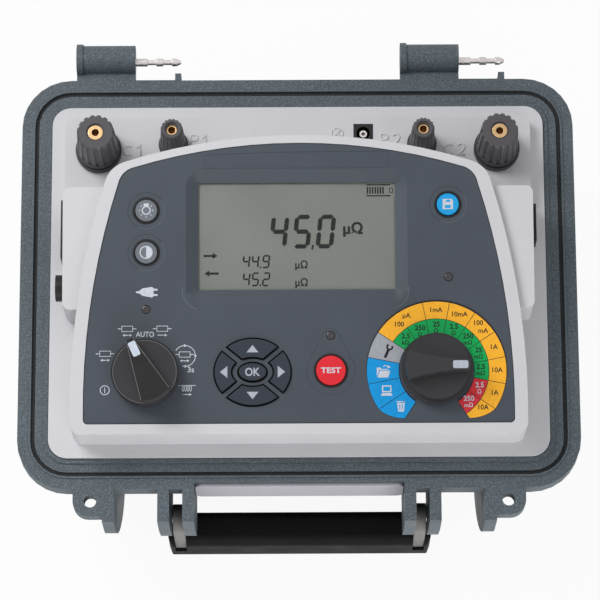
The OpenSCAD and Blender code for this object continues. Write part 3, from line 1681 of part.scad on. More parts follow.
// Pillars from the floor through the board to the panel
module board_pillars() {
  color([0.72, 0.73, 0.75]) for (p = pillars) translate([p[0], p[1], 0]) difference() {
    union() {
      translate([0, 0, pillar_low_z]) cylinder(r = pillar_r, h = main_z - pillar_low_z);
      translate([0, 0, main_z + board_t]) cylinder(r = pillar_r, h = boss_z - main_z - board_t);
      translate([0, 0, main_z - over]) cylinder(r = screw_r, h = boss_z + stud_in_d - main_z + over);
    }
    translate([0, 0, pillar_low_z - over])
      cylinder(r = screw_r + run, h = recess_d + case_screw_l - pillar_low_z + 2 * over);
  }
}

// Screws from below into the pillars
module case_screws() {
  color([0.6, 0.61, 0.63]) for (p = pillars) translate([p[0], p[1], recess_d - head_h]) {
    cylinder(r = head_r, h = head_h);
    cylinder(r = screw_r, h = head_h + case_screw_l);
  }
}

// Battery pack in its tray
module battery_pack() {
  color([0.15, 0.25, 0.5]) translate([battery_x, 0, 0]) {
    plate(battery_l, battery_w, corner_r, wall, wall + battery_h);
    translate([battery_l / 2 - chip_w, -chip_w / 2, wall + battery_h / 2])
      cube([chip_w, chip_w, battery_h / 2 + chip_h]);
  }
}

// Board of the power supply on its studs
module power_supply() {
  color([0.12, 0.4, 0.22]) difference() {
    union() {
      translate([supply_x, 0, 0]) plate(supply_w, supply_l, corner_r, supply_z, supply_top_z);
      for (k = [0, 1]) translate([supply_x - chip_w, chip_w + 2 * k * chip_w, supply_top_z - board_t / 2])
        cylinder(r = 2 * chip_w / 3, h = battery_h);
    }
    supply_studs() cylinder(r = screw_r + fit, h = supply_top_z);
  }
}

// Transformer on the power supply
module transformer() {
  color([0.45, 0.42, 0.38]) translate([supply_x, -supply_l / 4, supply_top_z]) {
    translate([-core_w / 2, -core_w / 4, 0]) cube([core_w, core_w / 2, core_h]);
    translate([-core_w / 3, -core_w / 2, core_h / 8]) cube([2 * core_w / 3, core_w, 3 * core_h / 4]);
  }
}

// Finned heat sink on the power supply
module heat_sink() {
  pitch = 2 * fin_t;
  w = pitch * (sink_fins - 1) + fin_t;
  color([0.65, 0.66, 0.68]) translate([supply_x + supply_w / 4, supply_l / 5, supply_top_z]) {
    translate([-w / 2, -sink_l / 2, 0]) cube([w, sink_l, 2 * fin_t]);
    for (i = [0:sink_fins - 1]) translate([i * pitch - w / 2, -sink_l / 2, 0]) cube([fin_t, sink_l, sink_h]);
  }
}

// Arm of the handle, from its pivot into the slot of the grip
module handle_arm(side) {
  color([0.8, 0.81, 0.82]) difference() {
    side_sheet(side * arm_x - arm_t / 2, arm_t, concat(
      arc(pivot_y, pivot_z, arm_w / 2, 0, 180, 2 * corner_steps),
      [[pivot_y - arm_w / 2, arm_low_z], [pivot_y + arm_w / 2, arm_low_z]]
    ));
    rod(side * arm_x - arm_t / 2 - over, pivot_y, pivot_z, pivot_r + run, arm_t + 2 * over);
  }
}

// Left arm of the handle
module handle_arm_left() {
  handle_arm(-1);
}

// Right arm of the handle
module handle_arm_right() {
  handle_arm(1);
}

// Grip of the handle with a slot for each arm
module handle_grip() {
  grip = [for (p = round_rect(grip_t, grip_h, grip_r)) [pivot_y + p[0], grip_clear + grip_h / 2 + p[1]]];
  color([0.1, 0.1, 0.11]) difference() {
    intersection() {
      side_sheet(-grip_w / 2, grip_w, grip);
      translate([0, pivot_y, 0]) plate(grip_w, 2 * grip_t, grip_t, 0, grip_clear + grip_h);
    }
    for (side = [-1, 1])
      translate([side * arm_x - arm_t / 2 - fit, pivot_y - grip_t / 2 - over, arm_low_z - fit])
        cube([arm_t + 2 * fit, grip_t / 2 + arm_w / 2 + fit + over, grip_h]);
  }
}

case_base();
rim_seal();
front_plate();
hinge_pin_left();
hinge_pin_right();
handle_pivots();
panel_moulding();
fascia();
display_lens();
display_module();
dial_label();
button_rings();
indicator_leds();
control_board();
control_screws();
function_switch();
range_switch();
main_board();
board_pillars();
case_screws();
battery_pack();
power_supply();
transformer();
heat_sink();
mains_inlet();
fuse_holder();
usb_socket();
lamp_jack();
lamp_jack_pin();
terminal_bases();
terminal_studs();
terminal_nuts();
terminal_leads();
handle_arm_left();
handle_arm_right();
handle_grip();
function_knob();
function_shaft();
range_knob();
range_shaft();
light_button();
contrast_button();
save_button();
test_button();
ok_key();
up_key();
down_key();
left_key();
right_key();
usb_cover();
fuse_cap();
washer_c1();
washer_c2();
washer_p1();
washer_p2();
cap_c1();
cap_c2();
cap_p1();
cap_p2();
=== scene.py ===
"""Looks of a rugged low resistance ohmmeter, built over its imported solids.

Everything is in metres in the frame of the solids. Drawings on a face are in millimetres.
"""

from __future__ import annotations

import json
import logging
import math
from contextlib import contextmanager
from dataclasses import dataclass, field
from enum import Enum
from functools import cache, cached_property, partial, reduce
from typing import Callable, Iterator, Sequence

import bmesh
import bpy
from mathutils import Matrix, Vector

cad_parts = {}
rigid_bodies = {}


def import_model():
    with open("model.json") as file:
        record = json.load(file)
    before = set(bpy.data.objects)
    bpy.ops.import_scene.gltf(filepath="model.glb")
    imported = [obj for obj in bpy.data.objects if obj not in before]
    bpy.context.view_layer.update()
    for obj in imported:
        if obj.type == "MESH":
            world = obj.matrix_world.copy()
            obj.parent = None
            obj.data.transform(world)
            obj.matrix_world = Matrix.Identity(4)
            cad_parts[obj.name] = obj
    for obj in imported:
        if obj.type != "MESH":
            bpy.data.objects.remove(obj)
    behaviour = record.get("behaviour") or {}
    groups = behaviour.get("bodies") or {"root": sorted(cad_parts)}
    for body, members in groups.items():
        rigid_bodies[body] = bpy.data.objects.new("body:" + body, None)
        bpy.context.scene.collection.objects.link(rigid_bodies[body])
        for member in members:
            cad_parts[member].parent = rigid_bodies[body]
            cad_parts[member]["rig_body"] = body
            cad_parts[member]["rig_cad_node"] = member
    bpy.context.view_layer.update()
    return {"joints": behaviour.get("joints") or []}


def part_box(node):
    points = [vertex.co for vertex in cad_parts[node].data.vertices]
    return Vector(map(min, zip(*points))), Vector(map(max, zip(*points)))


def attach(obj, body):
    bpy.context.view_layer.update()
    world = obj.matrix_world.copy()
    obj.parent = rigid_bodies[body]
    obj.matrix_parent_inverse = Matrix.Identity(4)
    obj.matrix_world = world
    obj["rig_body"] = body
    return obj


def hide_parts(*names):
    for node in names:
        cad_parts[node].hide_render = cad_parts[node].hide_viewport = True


log = logging.getLogger("ohmmeter")

MM = 0.001
Colour = tuple[float, float, float, float]
Point = tuple[float, float]
Node = bpy.types.Node
Socket = bpy.types.NodeSocket
Piece = bpy.types.Object

EDGE_ANGLE = math.radians(32)  # sharper edges are rounded
FLAT_ANGLE = math.radians(0.4)  # faces that differ by less are joined
SOLID_WELD = 2e-6  # vertices of a solid that are closer are one, metres
PRINT_WELD = 1e-7  # the same in a drawing, metres
SIDE_LEAN = 0.97  # the sides of a key look up by less than this share
FINE_RELIEF = 0.004  # depth of the finest marks, mm
THIN = 0.05  # thickness of most prints, mm
SIGN = 0.06  # thickness of the signs on the fascia and the keys, mm
FULL_WHITE: Colour = (1.0, 1.0, 1.0, 1.0)
PAD: Point = (-25.5, 28.3)  # middle of the five-way pad on the fascia, mm
TEST_KEY: Point = (17.8, 29.0)  # middle of the test button on the fascia, mm
DECK_SPOT: Point = (-92.5, 74.5)  # a bare place of the panel, mm


# Colours and material nodes


def tone(red: int, green: int, blue: int) -> Colour:
    """A colour as it is seen on a screen, in linear light.

    Args:
        red: Red, from 0 to 255.
        green: Green, from 0 to 255.
        blue: Blue, from 0 to 255.

    Returns:
        The linear colour with full alpha.
    """
    shares = [value / 255 for value in (red, green, blue)]
    linear = [s / 12.92 if s <= 0.04045 else ((s + 0.055) / 1.055) ** 2.4 for s in shares]
    return (linear[0], linear[1], linear[2], 1.0)


def shaded(colour: Colour, share: float) -> Colour:
    """The colour at a share of its brightness."""
    return (colour[0] * share, colour[1] * share, colour[2] * share, 1.0)


class Recipe:
    """The node tree of a material or of the world while it is put together."""

    def __init__(self, owner: bpy.types.Material | bpy.types.World, output: str) -> None:
        """Starts a tree with its output only.

        Args:
            owner: The material or the world.
            output: Blender's name of the output node.
        """
        owner.use_nodes = True
        self.tree = owner.node_tree
        self.tree.nodes.clear()
        self.output = self.node(output)

    @cached_property
    def coords(self) -> Socket:
        """The object's own coordinates."""
        return self.node("ShaderNodeTexCoord").outputs["Object"]

    def node(self, kind: str, sockets: dict[str | int, object] | None = None, **settings: object) -> Node:
        """Adds a node.

        Args:
            kind: Blender's name of the node.
            sockets: What its inputs get, each a plain value or the socket of another node.
            settings: Attributes to set on it.

        Returns:
            The new node.
        """
        made = self.tree.nodes.new(kind)
        for name, value in settings.items():
            setattr(made, name, value)
        for name, value in (sockets or {}).items():
            if isinstance(value, Socket):
                self.tree.links.new(value, made.inputs[name])
            else:
                made.inputs[name].default_value = value
        return made

    def noise(self, size: float, detail: float, stretch: Sequence[float] = (1, 1, 1)) -> Socket:
        """A cloudy pattern in the object's own coordinates.

        Args:
            size: Size of its patches, mm.
            detail: Levels of finer noise.
            stretch: How many times longer a patch is along each axis.

        Returns:
            The pattern's factor, about 0.5 on average.
        """
        turned = self.node("ShaderNodeMapping", {"Scale": [1 / s for s in stretch], "Vector": self.coords})
        clouds = self.node("ShaderNodeTexNoise", {
            "Scale": 1 / (size * MM), "Detail": detail, "Vector": turned.outputs["Vector"]})
        return clouds.outputs["Fac"]

    def pits(self, size: float) -> Socket:
        """The distance from the middles of round cells of a size in mm, as in a spark-eroded mould."""
        cells = self.node("ShaderNodeTexVoronoi", {"Scale": 1 / (size * MM), "Vector": self.coords})
        return cells.outputs["Distance"]

    def spread(self, factor: Socket, start: float, end: float, low: float, high: float) -> Socket:
        """Maps a factor from one range to another, low to high, held at its ends."""
        ends = {"From Min": start, "From Max": end, "To Min": low, "To Max": high}
        return self.node("ShaderNodeMapRange", {"Value": factor, **ends}).outputs["Result"]

    def combine(self, operation: str, first: Socket, second: Socket) -> Socket:
        """Works out one value from two by one of Blender's operations."""
        return self.node("ShaderNodeMath", {0: first, 1: second}, operation=operation).outputs[0]

    def mix(self, share: Socket, first: Colour | Socket, second: Colour) -> Socket:
        """Mixes a colour or a pattern with this share of a second colour."""
        return self.node("ShaderNodeMix", {0: share, 6: first, 7: second}, data_type="RGBA").outputs[2]

    def edge(self, radius: float) -> Socket:
        """Finds sharp edges, where a finish is rubbed.

        Args:
            radius: Reach of the search, mm.

        Returns:
            0 on open faces and 1 at edges.
        """
        soft = self.node("ShaderNodeBevel", {"Radius": radius * MM}, samples=4).outputs["Normal"]
        true = self.node("ShaderNodeNewGeometry").outputs["Normal"]
        facing = self.node("ShaderNodeVectorMath", {0: soft, 1: true}, operation="DOT_PRODUCT")
        return self.spread(facing.outputs["Value"], 0.99, 0.8, 0.0, 1.0)

    def rays(self, *kinds: str) -> Socket:
        """1 for rays of these kinds and 0 for all others."""
        path = self.node("ShaderNodeLightPath").outputs
        return reduce(partial(self.combine, "MAXIMUM"), (path[f"Is {kind} Ray"] for kind in kinds))

    def bump(self, height: Socket, depth: float, normal: Socket | None = None) -> Socket:
        """Turns a pattern into relief of a depth in mm, over another relief where one is given."""
        under = {} if normal is None else {"Normal": normal}
        return self.node("ShaderNodeBump", {"Distance": depth * MM, "Height": height, **under}).outputs["Normal"]

    def show(self, shader: Node) -> Node:
        """Joins a shader to the output and gives it back."""
        self.tree.links.new(shader.outputs[0], self.output.inputs["Surface"])
        return shader

    def surface(self, **values: object) -> Node:
        """Shows the principled shader; an underscore in a socket's name stands for a space."""
        sockets = {name.replace("_", " "): value for name, value in values.items()}
        return self.show(self.node("ShaderNodeBsdfPrincipled", sockets))

    def blend(self, share: Socket, first: Node, second: Node) -> Node:
        """Shows a mixture of two shaders with this share of the second."""
        return self.show(self.node("ShaderNodeMixShader", {0: share, 1: first.outputs[0], 2: second.outputs[0]}))


@dataclass(frozen=True)
class Finish:
    """A finish, known by the name of its material."""

    name: str

    def material(self) -> bpy.types.Material:
        """Makes the material once and gives the same one after that.

        Returns:
            The material.
        """
        found = bpy.data.materials.get(self.name)
        if found is None:
            found = bpy.data.materials.new(self.name)
            self.fill(Recipe(found, "ShaderNodeOutputMaterial"))
        return found

    def fill(self, recipe: Recipe) -> None:
        """Puts the nodes together, in each finish its own."""
        raise NotImplementedError


@dataclass(frozen=True)
class Moulded(Finish):
    """Moulded plastic with a grain, slow drift of colour, specks and rubbed edges."""
    colour: Colour
    roughness: float = 0.5
    grain: float = 0.8
    depth: float = 0.02
    specks: float = 0.0
    drift: float = 0.08
    wear: float = 0.0
    coat: float = 0.0
    shine: float = 0.28

    def fill(self, recipe: Recipe) -> None:
        """Puts the nodes of the plastic together.

        Args:
            recipe: The tree to fill.
        """
        cloud = recipe.spread(recipe.noise(28.0, 3.0), 0.3, 0.7, 0.0, 1.0)
        colour = recipe.mix(cloud, shaded(self.colour, 1 - self.drift), shaded(self.colour, 1 + self.drift))
        if self.specks:
            fine = recipe.noise(self.grain * 0.9, 1.0)
            pale = recipe.spread(fine, 0.52, 0.72, 0.0, self.specks)
            colour = recipe.mix(pale, colour, shaded(self.colour, 2.1))
            dark = recipe.spread(fine, 0.46, 0.28, 0.0, self.specks)
            colour = recipe.mix(dark, colour, shaded(self.colour, 0.45))
        if self.wear:
            rubbed = recipe.combine("MULTIPLY", recipe.edge(0.5),
                                    recipe.spread(recipe.noise(6.0, 4.0), 0.35, 0.65, 0.1, 1.0))
            colour = recipe.mix(recipe.spread(rubbed, 0.0, 1.0, 0.0, self.wear), colour, shaded(self.colour, 1.9))
        smudge = recipe.spread(recipe.noise(14.0, 5.0), 0.3, 0.7, self.roughness - 0.06, self.roughness + 0.08)
        rough = recipe.bump(recipe.noise(self.grain, 2.0), self.depth)
        normal = recipe.bump(recipe.pits(self.grain * 1.4), self.depth * 0.6, rough)
        recipe.surface(Base_Color=colour, Roughness=smudge, Normal=normal, Coat_Weight=self.coat,
                       Coat_Roughness=0.15, Specular_IOR_Level=self.shine)


@dataclass(frozen=True)
class Metal(Finish):
    """Turned or plated metal with fine tool marks and dulled patches."""

    colour: Colour
    roughness: float = 0.25
    marks: Point = (0.15, 6.0)
    dull: float = 0.15

    def fill(self, recipe: Recipe) -> None:
        """Puts the nodes of the metal together.

        Args:
            recipe: The tree to fill.
        """
        patches = recipe.noise(9.0, 4.0)
        worn = recipe.spread(patches, 0.4, 0.75, 0.0, 1.0)
        fine, long = self.marks
        lines = recipe.noise(fine, 1.0, (long / fine, 1.0, 1.0))
        recipe.surface(
            Metallic=1.0,
            Base_Color=recipe.mix(worn, self.colour, shaded(self.colour, 0.75)),
            Roughness=recipe.spread(patches, 0.3, 0.7, self.roughness, self.roughness + self.dull),
            Normal=recipe.bump(lines, FINE_RELIEF))


@dataclass(frozen=True)
class Ink(Finish):
    """Printed ink, a little uneven, on a face."""

    colour: Colour
    roughness: float = 0.45
    fade: float = 0.12

    def fill(self, recipe: Recipe) -> None:
        """Puts the nodes of the ink together.

        Args:
            recipe: The tree to fill.
        """
        uneven = recipe.spread(recipe.noise(1.6, 4.0), 0.35, 0.7, 0.0, 1.0)
        recipe.surface(
            Specular_IOR_Level=0.25,
            Base_Color=recipe.mix(uneven, self.colour, shaded(self.colour, 1 - self.fade)),
            Roughness=recipe.spread(recipe.noise(5.0, 3.0), 0.3, 0.7, self.roughness - 0.08,
                                    self.roughness + 0.08),
            Normal=recipe.bump(recipe.noise(0.35, 2.0), FINE_RELIEF))


@dataclass(frozen=True)
class CellGlass(Finish):
    """Face of a liquid crystal cell, with a fine matrix and a cloud or two."""

    colour: Colour
    pitch: float = 0.55

    def fill(self, recipe: Recipe) -> None:
        """Puts the nodes of the cell together.

        Args:
            recipe: The tree to fill.
        """
        clouds = recipe.spread(recipe.noise(38.0, 2.0), 0.35, 0.65, 0.0, 1.0)
        colour = recipe.mix(clouds, self.colour, shaded(self.colour, 0.9))
        specks = recipe.spread(recipe.noise(self.pitch, 1.0), 0.4, 0.62, 0.0, 0.16)
        recipe.surface(
            Specular_IOR_Level=0.2,
            Base_Color=recipe.mix(specks, colour, shaded(self.colour, 0.55)),
            Roughness=recipe.spread(recipe.noise(8.0, 2.0), 0.3, 0.7, 0.42, 0.55),
            Normal=recipe.bump(recipe.noise(self.pitch, 1.0), FINE_RELIEF))


@dataclass(frozen=True)
class ClearPane(Finish):
    """A clear pane that shows what lies under it, with a faint wiped surface."""

    smooth: float = 0.03
    haze: float = 0.06

    def fill(self, recipe: Recipe) -> None:
        """Puts the nodes of the pane together.

        Args:
            recipe: The tree to fill.
        """
        shine = recipe.surface(
            Metallic=1.0,
            Base_Color=FULL_WHITE,
            Roughness=recipe.spread(recipe.noise(16.0, 5.0), 0.3, 0.7, self.smooth, self.smooth + self.haze),
            Normal=recipe.bump(recipe.noise(22.0, 2.0), FINE_RELIEF))
        clear = recipe.node("ShaderNodeBsdfTransparent", {"Color": tone(247, 250, 248)})
        angle = recipe.node("ShaderNodeFresnel", {"IOR": 1.2})
        recipe.blend(angle.outputs[0], clear, shine)


class Stuff(Enum):
    """Every finish of the instrument."""

    CASE = Moulded("case_moulding", tone(82, 91, 97), 0.56, 1.1, 0.06, specks=0.55, wear=0.25)
    PANEL = Moulded("panel_moulding", tone(205, 205, 209), 0.5, 0.6, 0.012, drift=0.02)
    FASCIA = Moulded("fascia_moulding", tone(69, 75, 84), 0.5, 0.5, 0.012, drift=0.05)
    PALE = Moulded("pale_moulding", tone(172, 170, 177), 0.5, 0.6, 0.015, drift=0.03)
    ARM = Moulded("arm_moulding", tone(122, 119, 117), 0.55, 0.8, 0.02, drift=0.05)
    GRIP = Moulded("grip_moulding", tone(20, 19, 21), 0.62, 1.1, 0.03, drift=0.1, wear=0.15, shine=0.1)
    KNOB = Moulded("knob_moulding", tone(50, 49, 52), 0.36, 0.5, 0.01, drift=0.06, wear=0.45)
    CAP = Moulded("cap_moulding", tone(78, 76, 79), 0.38, 0.6, 0.015, wear=0.5)
    # black moulding, also used for painted shade in gaps, wells and on the function knob
    BLACK = Moulded("black_moulding", tone(26, 26, 28), 0.36, 0.5, 0.01)
    PAD = Moulded("pad_key_rubber", tone(44, 50, 60), 0.55, 0.35, 0.01, drift=0.05)
    GREY_KEY = Moulded("grey_key_rubber", tone(108, 112, 120), 0.55, 0.35, 0.01, drift=0.04)
    BLUE_KEY = Moulded("blue_key_rubber", tone(28, 158, 222), 0.45, 0.35, 0.01, drift=0.05)
    RED_KEY = Moulded("red_key_rubber", tone(222, 40, 52), 0.42, 0.35, 0.01, drift=0.06)
    SEAL = Moulded("seal_rubber", tone(34, 35, 36), 0.7, 0.8, 0.02)
    LAMP = Moulded("lamp_lens", tone(52, 46, 50), 0.16, 2.0, 0.004, coat=0.6)
    LABEL = Ink("dial_backing", tone(22, 24, 28), 0.42)
    BOARD = Moulded("board_laminate", tone(22, 92, 56), 0.4, 1.6, 0.03, specks=0.2)
    BATTERY = Moulded("battery_wrap", tone(46, 60, 92), 0.35, 3.0, 0.03, drift=0.12)
    CORE = Metal("core_steel", tone(96, 98, 104), 0.5, (0.35, 30.0))
    SINK = Metal("sink_aluminium", tone(196, 198, 202), 0.38, (0.2, 12.0))
    DARK = Moulded("dark_moulding", tone(48, 48, 51), 0.4, 0.6, 0.015, drift=0.06)
    LEAD = Moulded("lead_sleeve", tone(150, 30, 34), 0.45, 1.2, 0.02)
    STEEL = Metal("bright_steel", tone(214, 208, 206), 0.2, (0.12, 8.0))
    GILT = Metal("gilt_brass", tone(206, 172, 128), 0.26, (0.12, 5.0))
    WHITE = Ink("white_print", tone(206, 210, 220))
    SYMBOL = Ink("grey_symbol", tone(176, 181, 192))
    MARK_LIGHT = Ink("mark_light", tone(205, 213, 226), 0.4)
    MARK_GREY = Ink("mark_grey", tone(184, 190, 203), 0.4)
    BLACK_PRINT = Ink("black_print", tone(18, 19, 22))
    AMBER = Ink("amber_print", tone(255, 184, 48))
    GREEN = Ink("green_print", tone(0, 166, 84))
    BLUE = Ink("blue_print", tone(12, 150, 220))
    RED = Ink("red_print", tone(222, 54, 64))
    GREY = Ink("grey_print", tone(162, 166, 174))
    # painted shade: darker lines along the fine moulded lines and on the shaded sides of the halos
    HALO = Ink("halo_line", tone(56, 61, 69))
    # painted highlight: pale lines on the lit edges of the ridge round the window and of the halos
    RIDGE = Ink("ridge_line", tone(98, 104, 114))
    # painted highlight: pale lines along the lit edges of the function knob
    EDGE = Ink("knob_edge", tone(118, 115, 117), 0.4)
    # painted highlight: a pale line along the lit edges of the display window
    FRAME = Ink("window_edge", tone(150, 153, 152), 0.4)
    SEGMENT = Ink("cell_segments", tone(14, 15, 17), 0.4, 0.05)
    CELL = CellGlass("cell_face", tone(163, 158, 157))
    PANE = ClearPane("display_pane")

    def __call__(self) -> bpy.types.Material:
        """The finish's material."""
        return self.value.material()


# Work at the bench


def active() -> Piece:
    """The active object."""
    return bpy.context.view_layer.objects.active


def take(*chosen: Piece) -> None:
    """Selects these objects only.

    Args:
        chosen: The objects, the first of which becomes the active one.
    """
    bpy.ops.object.select_all(action="DESELECT")
    for piece in chosen:
        piece.select_set(True)
    bpy.context.view_layer.objects.active = chosen[0]


@contextmanager
def editing(piece: Piece) -> Iterator[bmesh.types.BMesh]:
    """Edit mode on the faces of one piece, with nothing selected at first.

    Args:
        piece: What is edited.

    Yields:
        The mesh in edit mode.
    """
    take(piece)
    bpy.ops.object.mode_set(mode="EDIT")
    bpy.ops.mesh.select_mode(type="FACE")
    bpy.ops.mesh.select_all(action="DESELECT")
    yield bmesh.from_edit_mesh(piece.data)
    bpy.ops.object.mode_set(mode="OBJECT")


def pick_faces(piece: Piece, mesh: bmesh.types.BMesh,
               test: Callable[[bmesh.types.BMFace], bool]) -> None:
    """Selects the faces that pass a test.

    Args:
        piece: The piece in edit mode.
        mesh: Its mesh in edit mode.
        test: True for a face that is wanted.
    """
    for face in mesh.faces:
        face.select_set(test(face))
    bmesh.update_edit_mesh(piece.data)


def modify(piece: Piece, kind: str, **settings: object) -> None:
    """Adds a modifier, sets it and applies it.

    Args:
        piece: What is modified.
        kind: Blender's name of the modifier.
        settings: Attributes of the modifier.
    """
    take(piece)
    bpy.ops.object.modifier_add(type=kind)
    modifier = piece.modifiers[-1]
    for name, value in settings.items():
        setattr(modifier, name, value)
    bpy.ops.object.modifier_apply(modifier=modifier.name)


def settle(piece: Piece) -> None:
    """Moves a piece's place into its mesh."""
    take(piece)
    bpy.ops.object.transform_apply(location=True, rotation=True, scale=True)


def joined(name: str, parts: Sequence[Piece]) -> Piece:
    """Joins meshes to one piece.

    Args:
        name: Name of the piece.
        parts: The meshes.

    Returns:
        The piece.
    """
    take(*parts)
    if len(parts) > 1:
        bpy.ops.object.join()
    piece = active()
    piece.name = name
    piece.data.name = name
    return piece


def dress(piece: Piece, stuff: Stuff, body: str) -> None:
    """Gives a piece its finish and the body that it rides on.

    Args:
        piece: The piece.
        stuff: Its finish.
        body: The CAD body.
    """
    piece.data.materials.clear()
    piece.data.materials.append(stuff())
    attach(piece, body)


def twin_of(node: str, name: str) -> Piece:
    """Copies a CAD node into a piece of its own, with its flat faces whole.

    Args:
        node: The CAD node.
        name: Name of the new piece.

    Returns:
        The copy, on no body yet.
    """
    source = bpy.data.objects[node]
    twin = source.copy()
    twin.data = source.data.copy()
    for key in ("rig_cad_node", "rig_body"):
        del twin[key]
    twin.parent = None
    twin.name = name
    twin.data.name = name
    bpy.context.scene.collection.objects.link(twin)
    take(twin)
    bpy.ops.mesh.customdata_custom_splitnormals_clear()
    with editing(twin):
        bpy.ops.mesh.select_all(action="SELECT")
        bpy.ops.mesh.remove_doubles(threshold=SOLID_WELD)
        bpy.ops.mesh.dissolve_limited(angle_limit=FLAT_ANGLE, delimit=set())
    return twin


def refined(node: str, stuff: Stuff, bevel: float) -> Piece:
    """Copies a CAD node, rounds its edges as a mould does and finishes it.

    Args:
        node: The CAD node.
        stuff: Its finish.
        bevel: Width of the rounding, mm.

    Returns:
        The finished piece.
    """
    body = bpy.data.objects[node]["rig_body"]
    piece = twin_of(node, f"{node}_moulded")
    if bevel:
        modify(piece, "BEVEL", width=bevel * MM, segments=2, limit_method="ANGLE", angle_limit=EDGE_ANGLE,
               use_clamp_overlap=True, harden_normals=False)
        take(piece)
        bpy.ops.object.shade_smooth_by_angle(angle=EDGE_ANGLE)
        modify(piece, "WEIGHTED_NORMAL", keep_sharp=True)
    else:
        take(piece)
        bpy.ops.object.shade_flat()
    dress(piece, stuff, body)
    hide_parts(node)
    return piece


def shade_sides(piece: Piece, out: Vector, test: Callable[[Vector], bool]) -> None:
    """Paints shade on the sides of a piece in the black finish, where the gaps round it fall in shade.

    Args:
        piece: The piece, with its finish on.
        out: The direction in which its top faces.
        test: True for the middle of a face that may turn black.
    """
    piece.data.materials.append(Stuff.BLACK())
    with editing(piece) as mesh:
        pick_faces(piece, mesh, lambda made: (abs(made.normal.dot(out)) < SIDE_LEAN
                                              and test(made.calc_center_median())))
        piece.active_material_index = 1
        bpy.ops.object.material_slot_assign()


# Faces to draw on


@dataclass(frozen=True)
class Face:
    """A flat face with its own axes, on which drawings are placed in millimetres."""

    origin: Vector
    right: Vector
    up: Vector
    out: Vector

    def matrix(self, lift: float) -> Matrix:
        """The place of a drawing that lies this high over the face, mm."""
        turn = Matrix((self.right, self.up, self.out)).transposed().to_4x4()
        return Matrix.Translation(self.origin + self.out * lift * MM) @ turn

    def top_of(self, node: str) -> float:
        """Height of a node's highest point over the face, mm."""
        return max((v.co - self.origin).dot(self.out) for v in bpy.data.objects[node].data.vertices) / MM

    def height_at(self, node: str, x: float, y: float, start: float = 60.0) -> float:
        """Height of a node's surface over the face under one place.

        Args:
            node: The CAD node.
            x: Place to the right, mm.
            y: Place up the face, mm.
            start: Height from which the surface is looked for, mm.

        Returns:
            The height, mm.
        """
        high = self.origin + (self.right * x + self.up * y + self.out * start) * MM
        hit, place, _, _ = bpy.data.objects[node].ray_cast(high, -self.out)
        return (place - self.origin).dot(self.out) / MM if hit else 0.0


def on_circle(x: float, y: float, radius: float, angle: float) -> Point:
    """The point of a circle at an angle in degrees, mm."""
    turn = math.radians(angle)
    return (x + radius * math.cos(turn), y + radius * math.sin(turn))


def circle(x: float, y: float, radius: float, start: float = 0.0, end: float = 360.0,
           steps: int = 40) -> list[Point]:
    """Points round an arc in mm and degrees, without the last one on a full turn."""
    whole = abs(end - start) >= 360.0
    return [on_circle(x, y, radius, start + (end - start) * i / steps) for i in range(steps + (not whole))]


def spaced(first: float, last: float, steps: int) -> list[float]:
    """Values from the first to the last in equal steps."""
    return [first + (last - first) * i / steps for i in range(steps + 1)]


def box(x: float, y: float, width: float, height: float) -> list[Point]:
    """The corners of a rectangle round a middle point, in mm."""
    return [(x - width / 2, y - height / 2), (x + width / 2, y - height / 2),
            (x + width / 2, y + height / 2), (x - width / 2, y + height / 2)]


def rounded(x: float, y: float, width: float, height: float, radius: float) -> list[Point]:
    """The outline of a rectangle with round corners, anticlockwise from the right, in mm."""
    corners = ((1, 1, 0), (-1, 1, 90), (-1, -1, 180), (1, -1, 270))
    return [point for side_x, side_y, start in corners for point in circle(
        x + side_x * (width / 2 - radius), y + side_y * (height / 2 - radius), radius, start, start + 90, 6)]


def moved(points: Sequence[Point], x: float, y: float, turn: float = 0.0, scale: float = 1.0) -> list[Point]:
    """Points scaled, turned by an angle in degrees and shifted by mm."""
    c, s = math.cos(math.radians(turn)) * scale, math.sin(math.radians(turn)) * scale
    return [(x + px * c - py * s, y + px * s + py * c) for px, py in points]


class Segment(Enum):
    """The seven bars of a figure, as left, right, bottom and top shares of its box."""

    TOP = (0.0, 1.0, 1.0, 1.0)
    MIDDLE = (0.0, 1.0, 0.5, 0.5)
    BOTTOM = (0.0, 1.0, 0.0, 0.0)
    UPPER_LEFT = (0.0, 0.0, 0.5, 1.0)
    UPPER_RIGHT = (1.0, 1.0, 0.5, 1.0)
    LOWER_LEFT = (0.0, 0.0, 0.0, 0.5)
    LOWER_RIGHT = (1.0, 1.0, 0.0, 0.5)


S = Segment
FIGURES = {
    "0": (S.TOP, S.BOTTOM, S.UPPER_LEFT, S.UPPER_RIGHT, S.LOWER_LEFT, S.LOWER_RIGHT),
    "2": (S.TOP, S.MIDDLE, S.BOTTOM, S.UPPER_RIGHT, S.LOWER_LEFT),
    "4": (S.MIDDLE, S.UPPER_LEFT, S.UPPER_RIGHT, S.LOWER_RIGHT),
    "5": (S.TOP, S.MIDDLE, S.BOTTOM, S.UPPER_LEFT, S.LOWER_RIGHT),
    "9": (S.TOP, S.MIDDLE, S.BOTTOM, S.UPPER_LEFT, S.UPPER_RIGHT, S.LOWER_RIGHT),
}


@cache
def capital_height() -> float:
    """Measures the height of a capital letter at font size 1.

    Returns:
        The height, measured once.
    """
    bpy.ops.object.text_add()
    sample = active()
    sample.data.body = "H"
    sample.data.size = 1.0
    bpy.context.view_layer.update()
    height = sample.dimensions.y
    bpy.ops.object.delete()
    return height


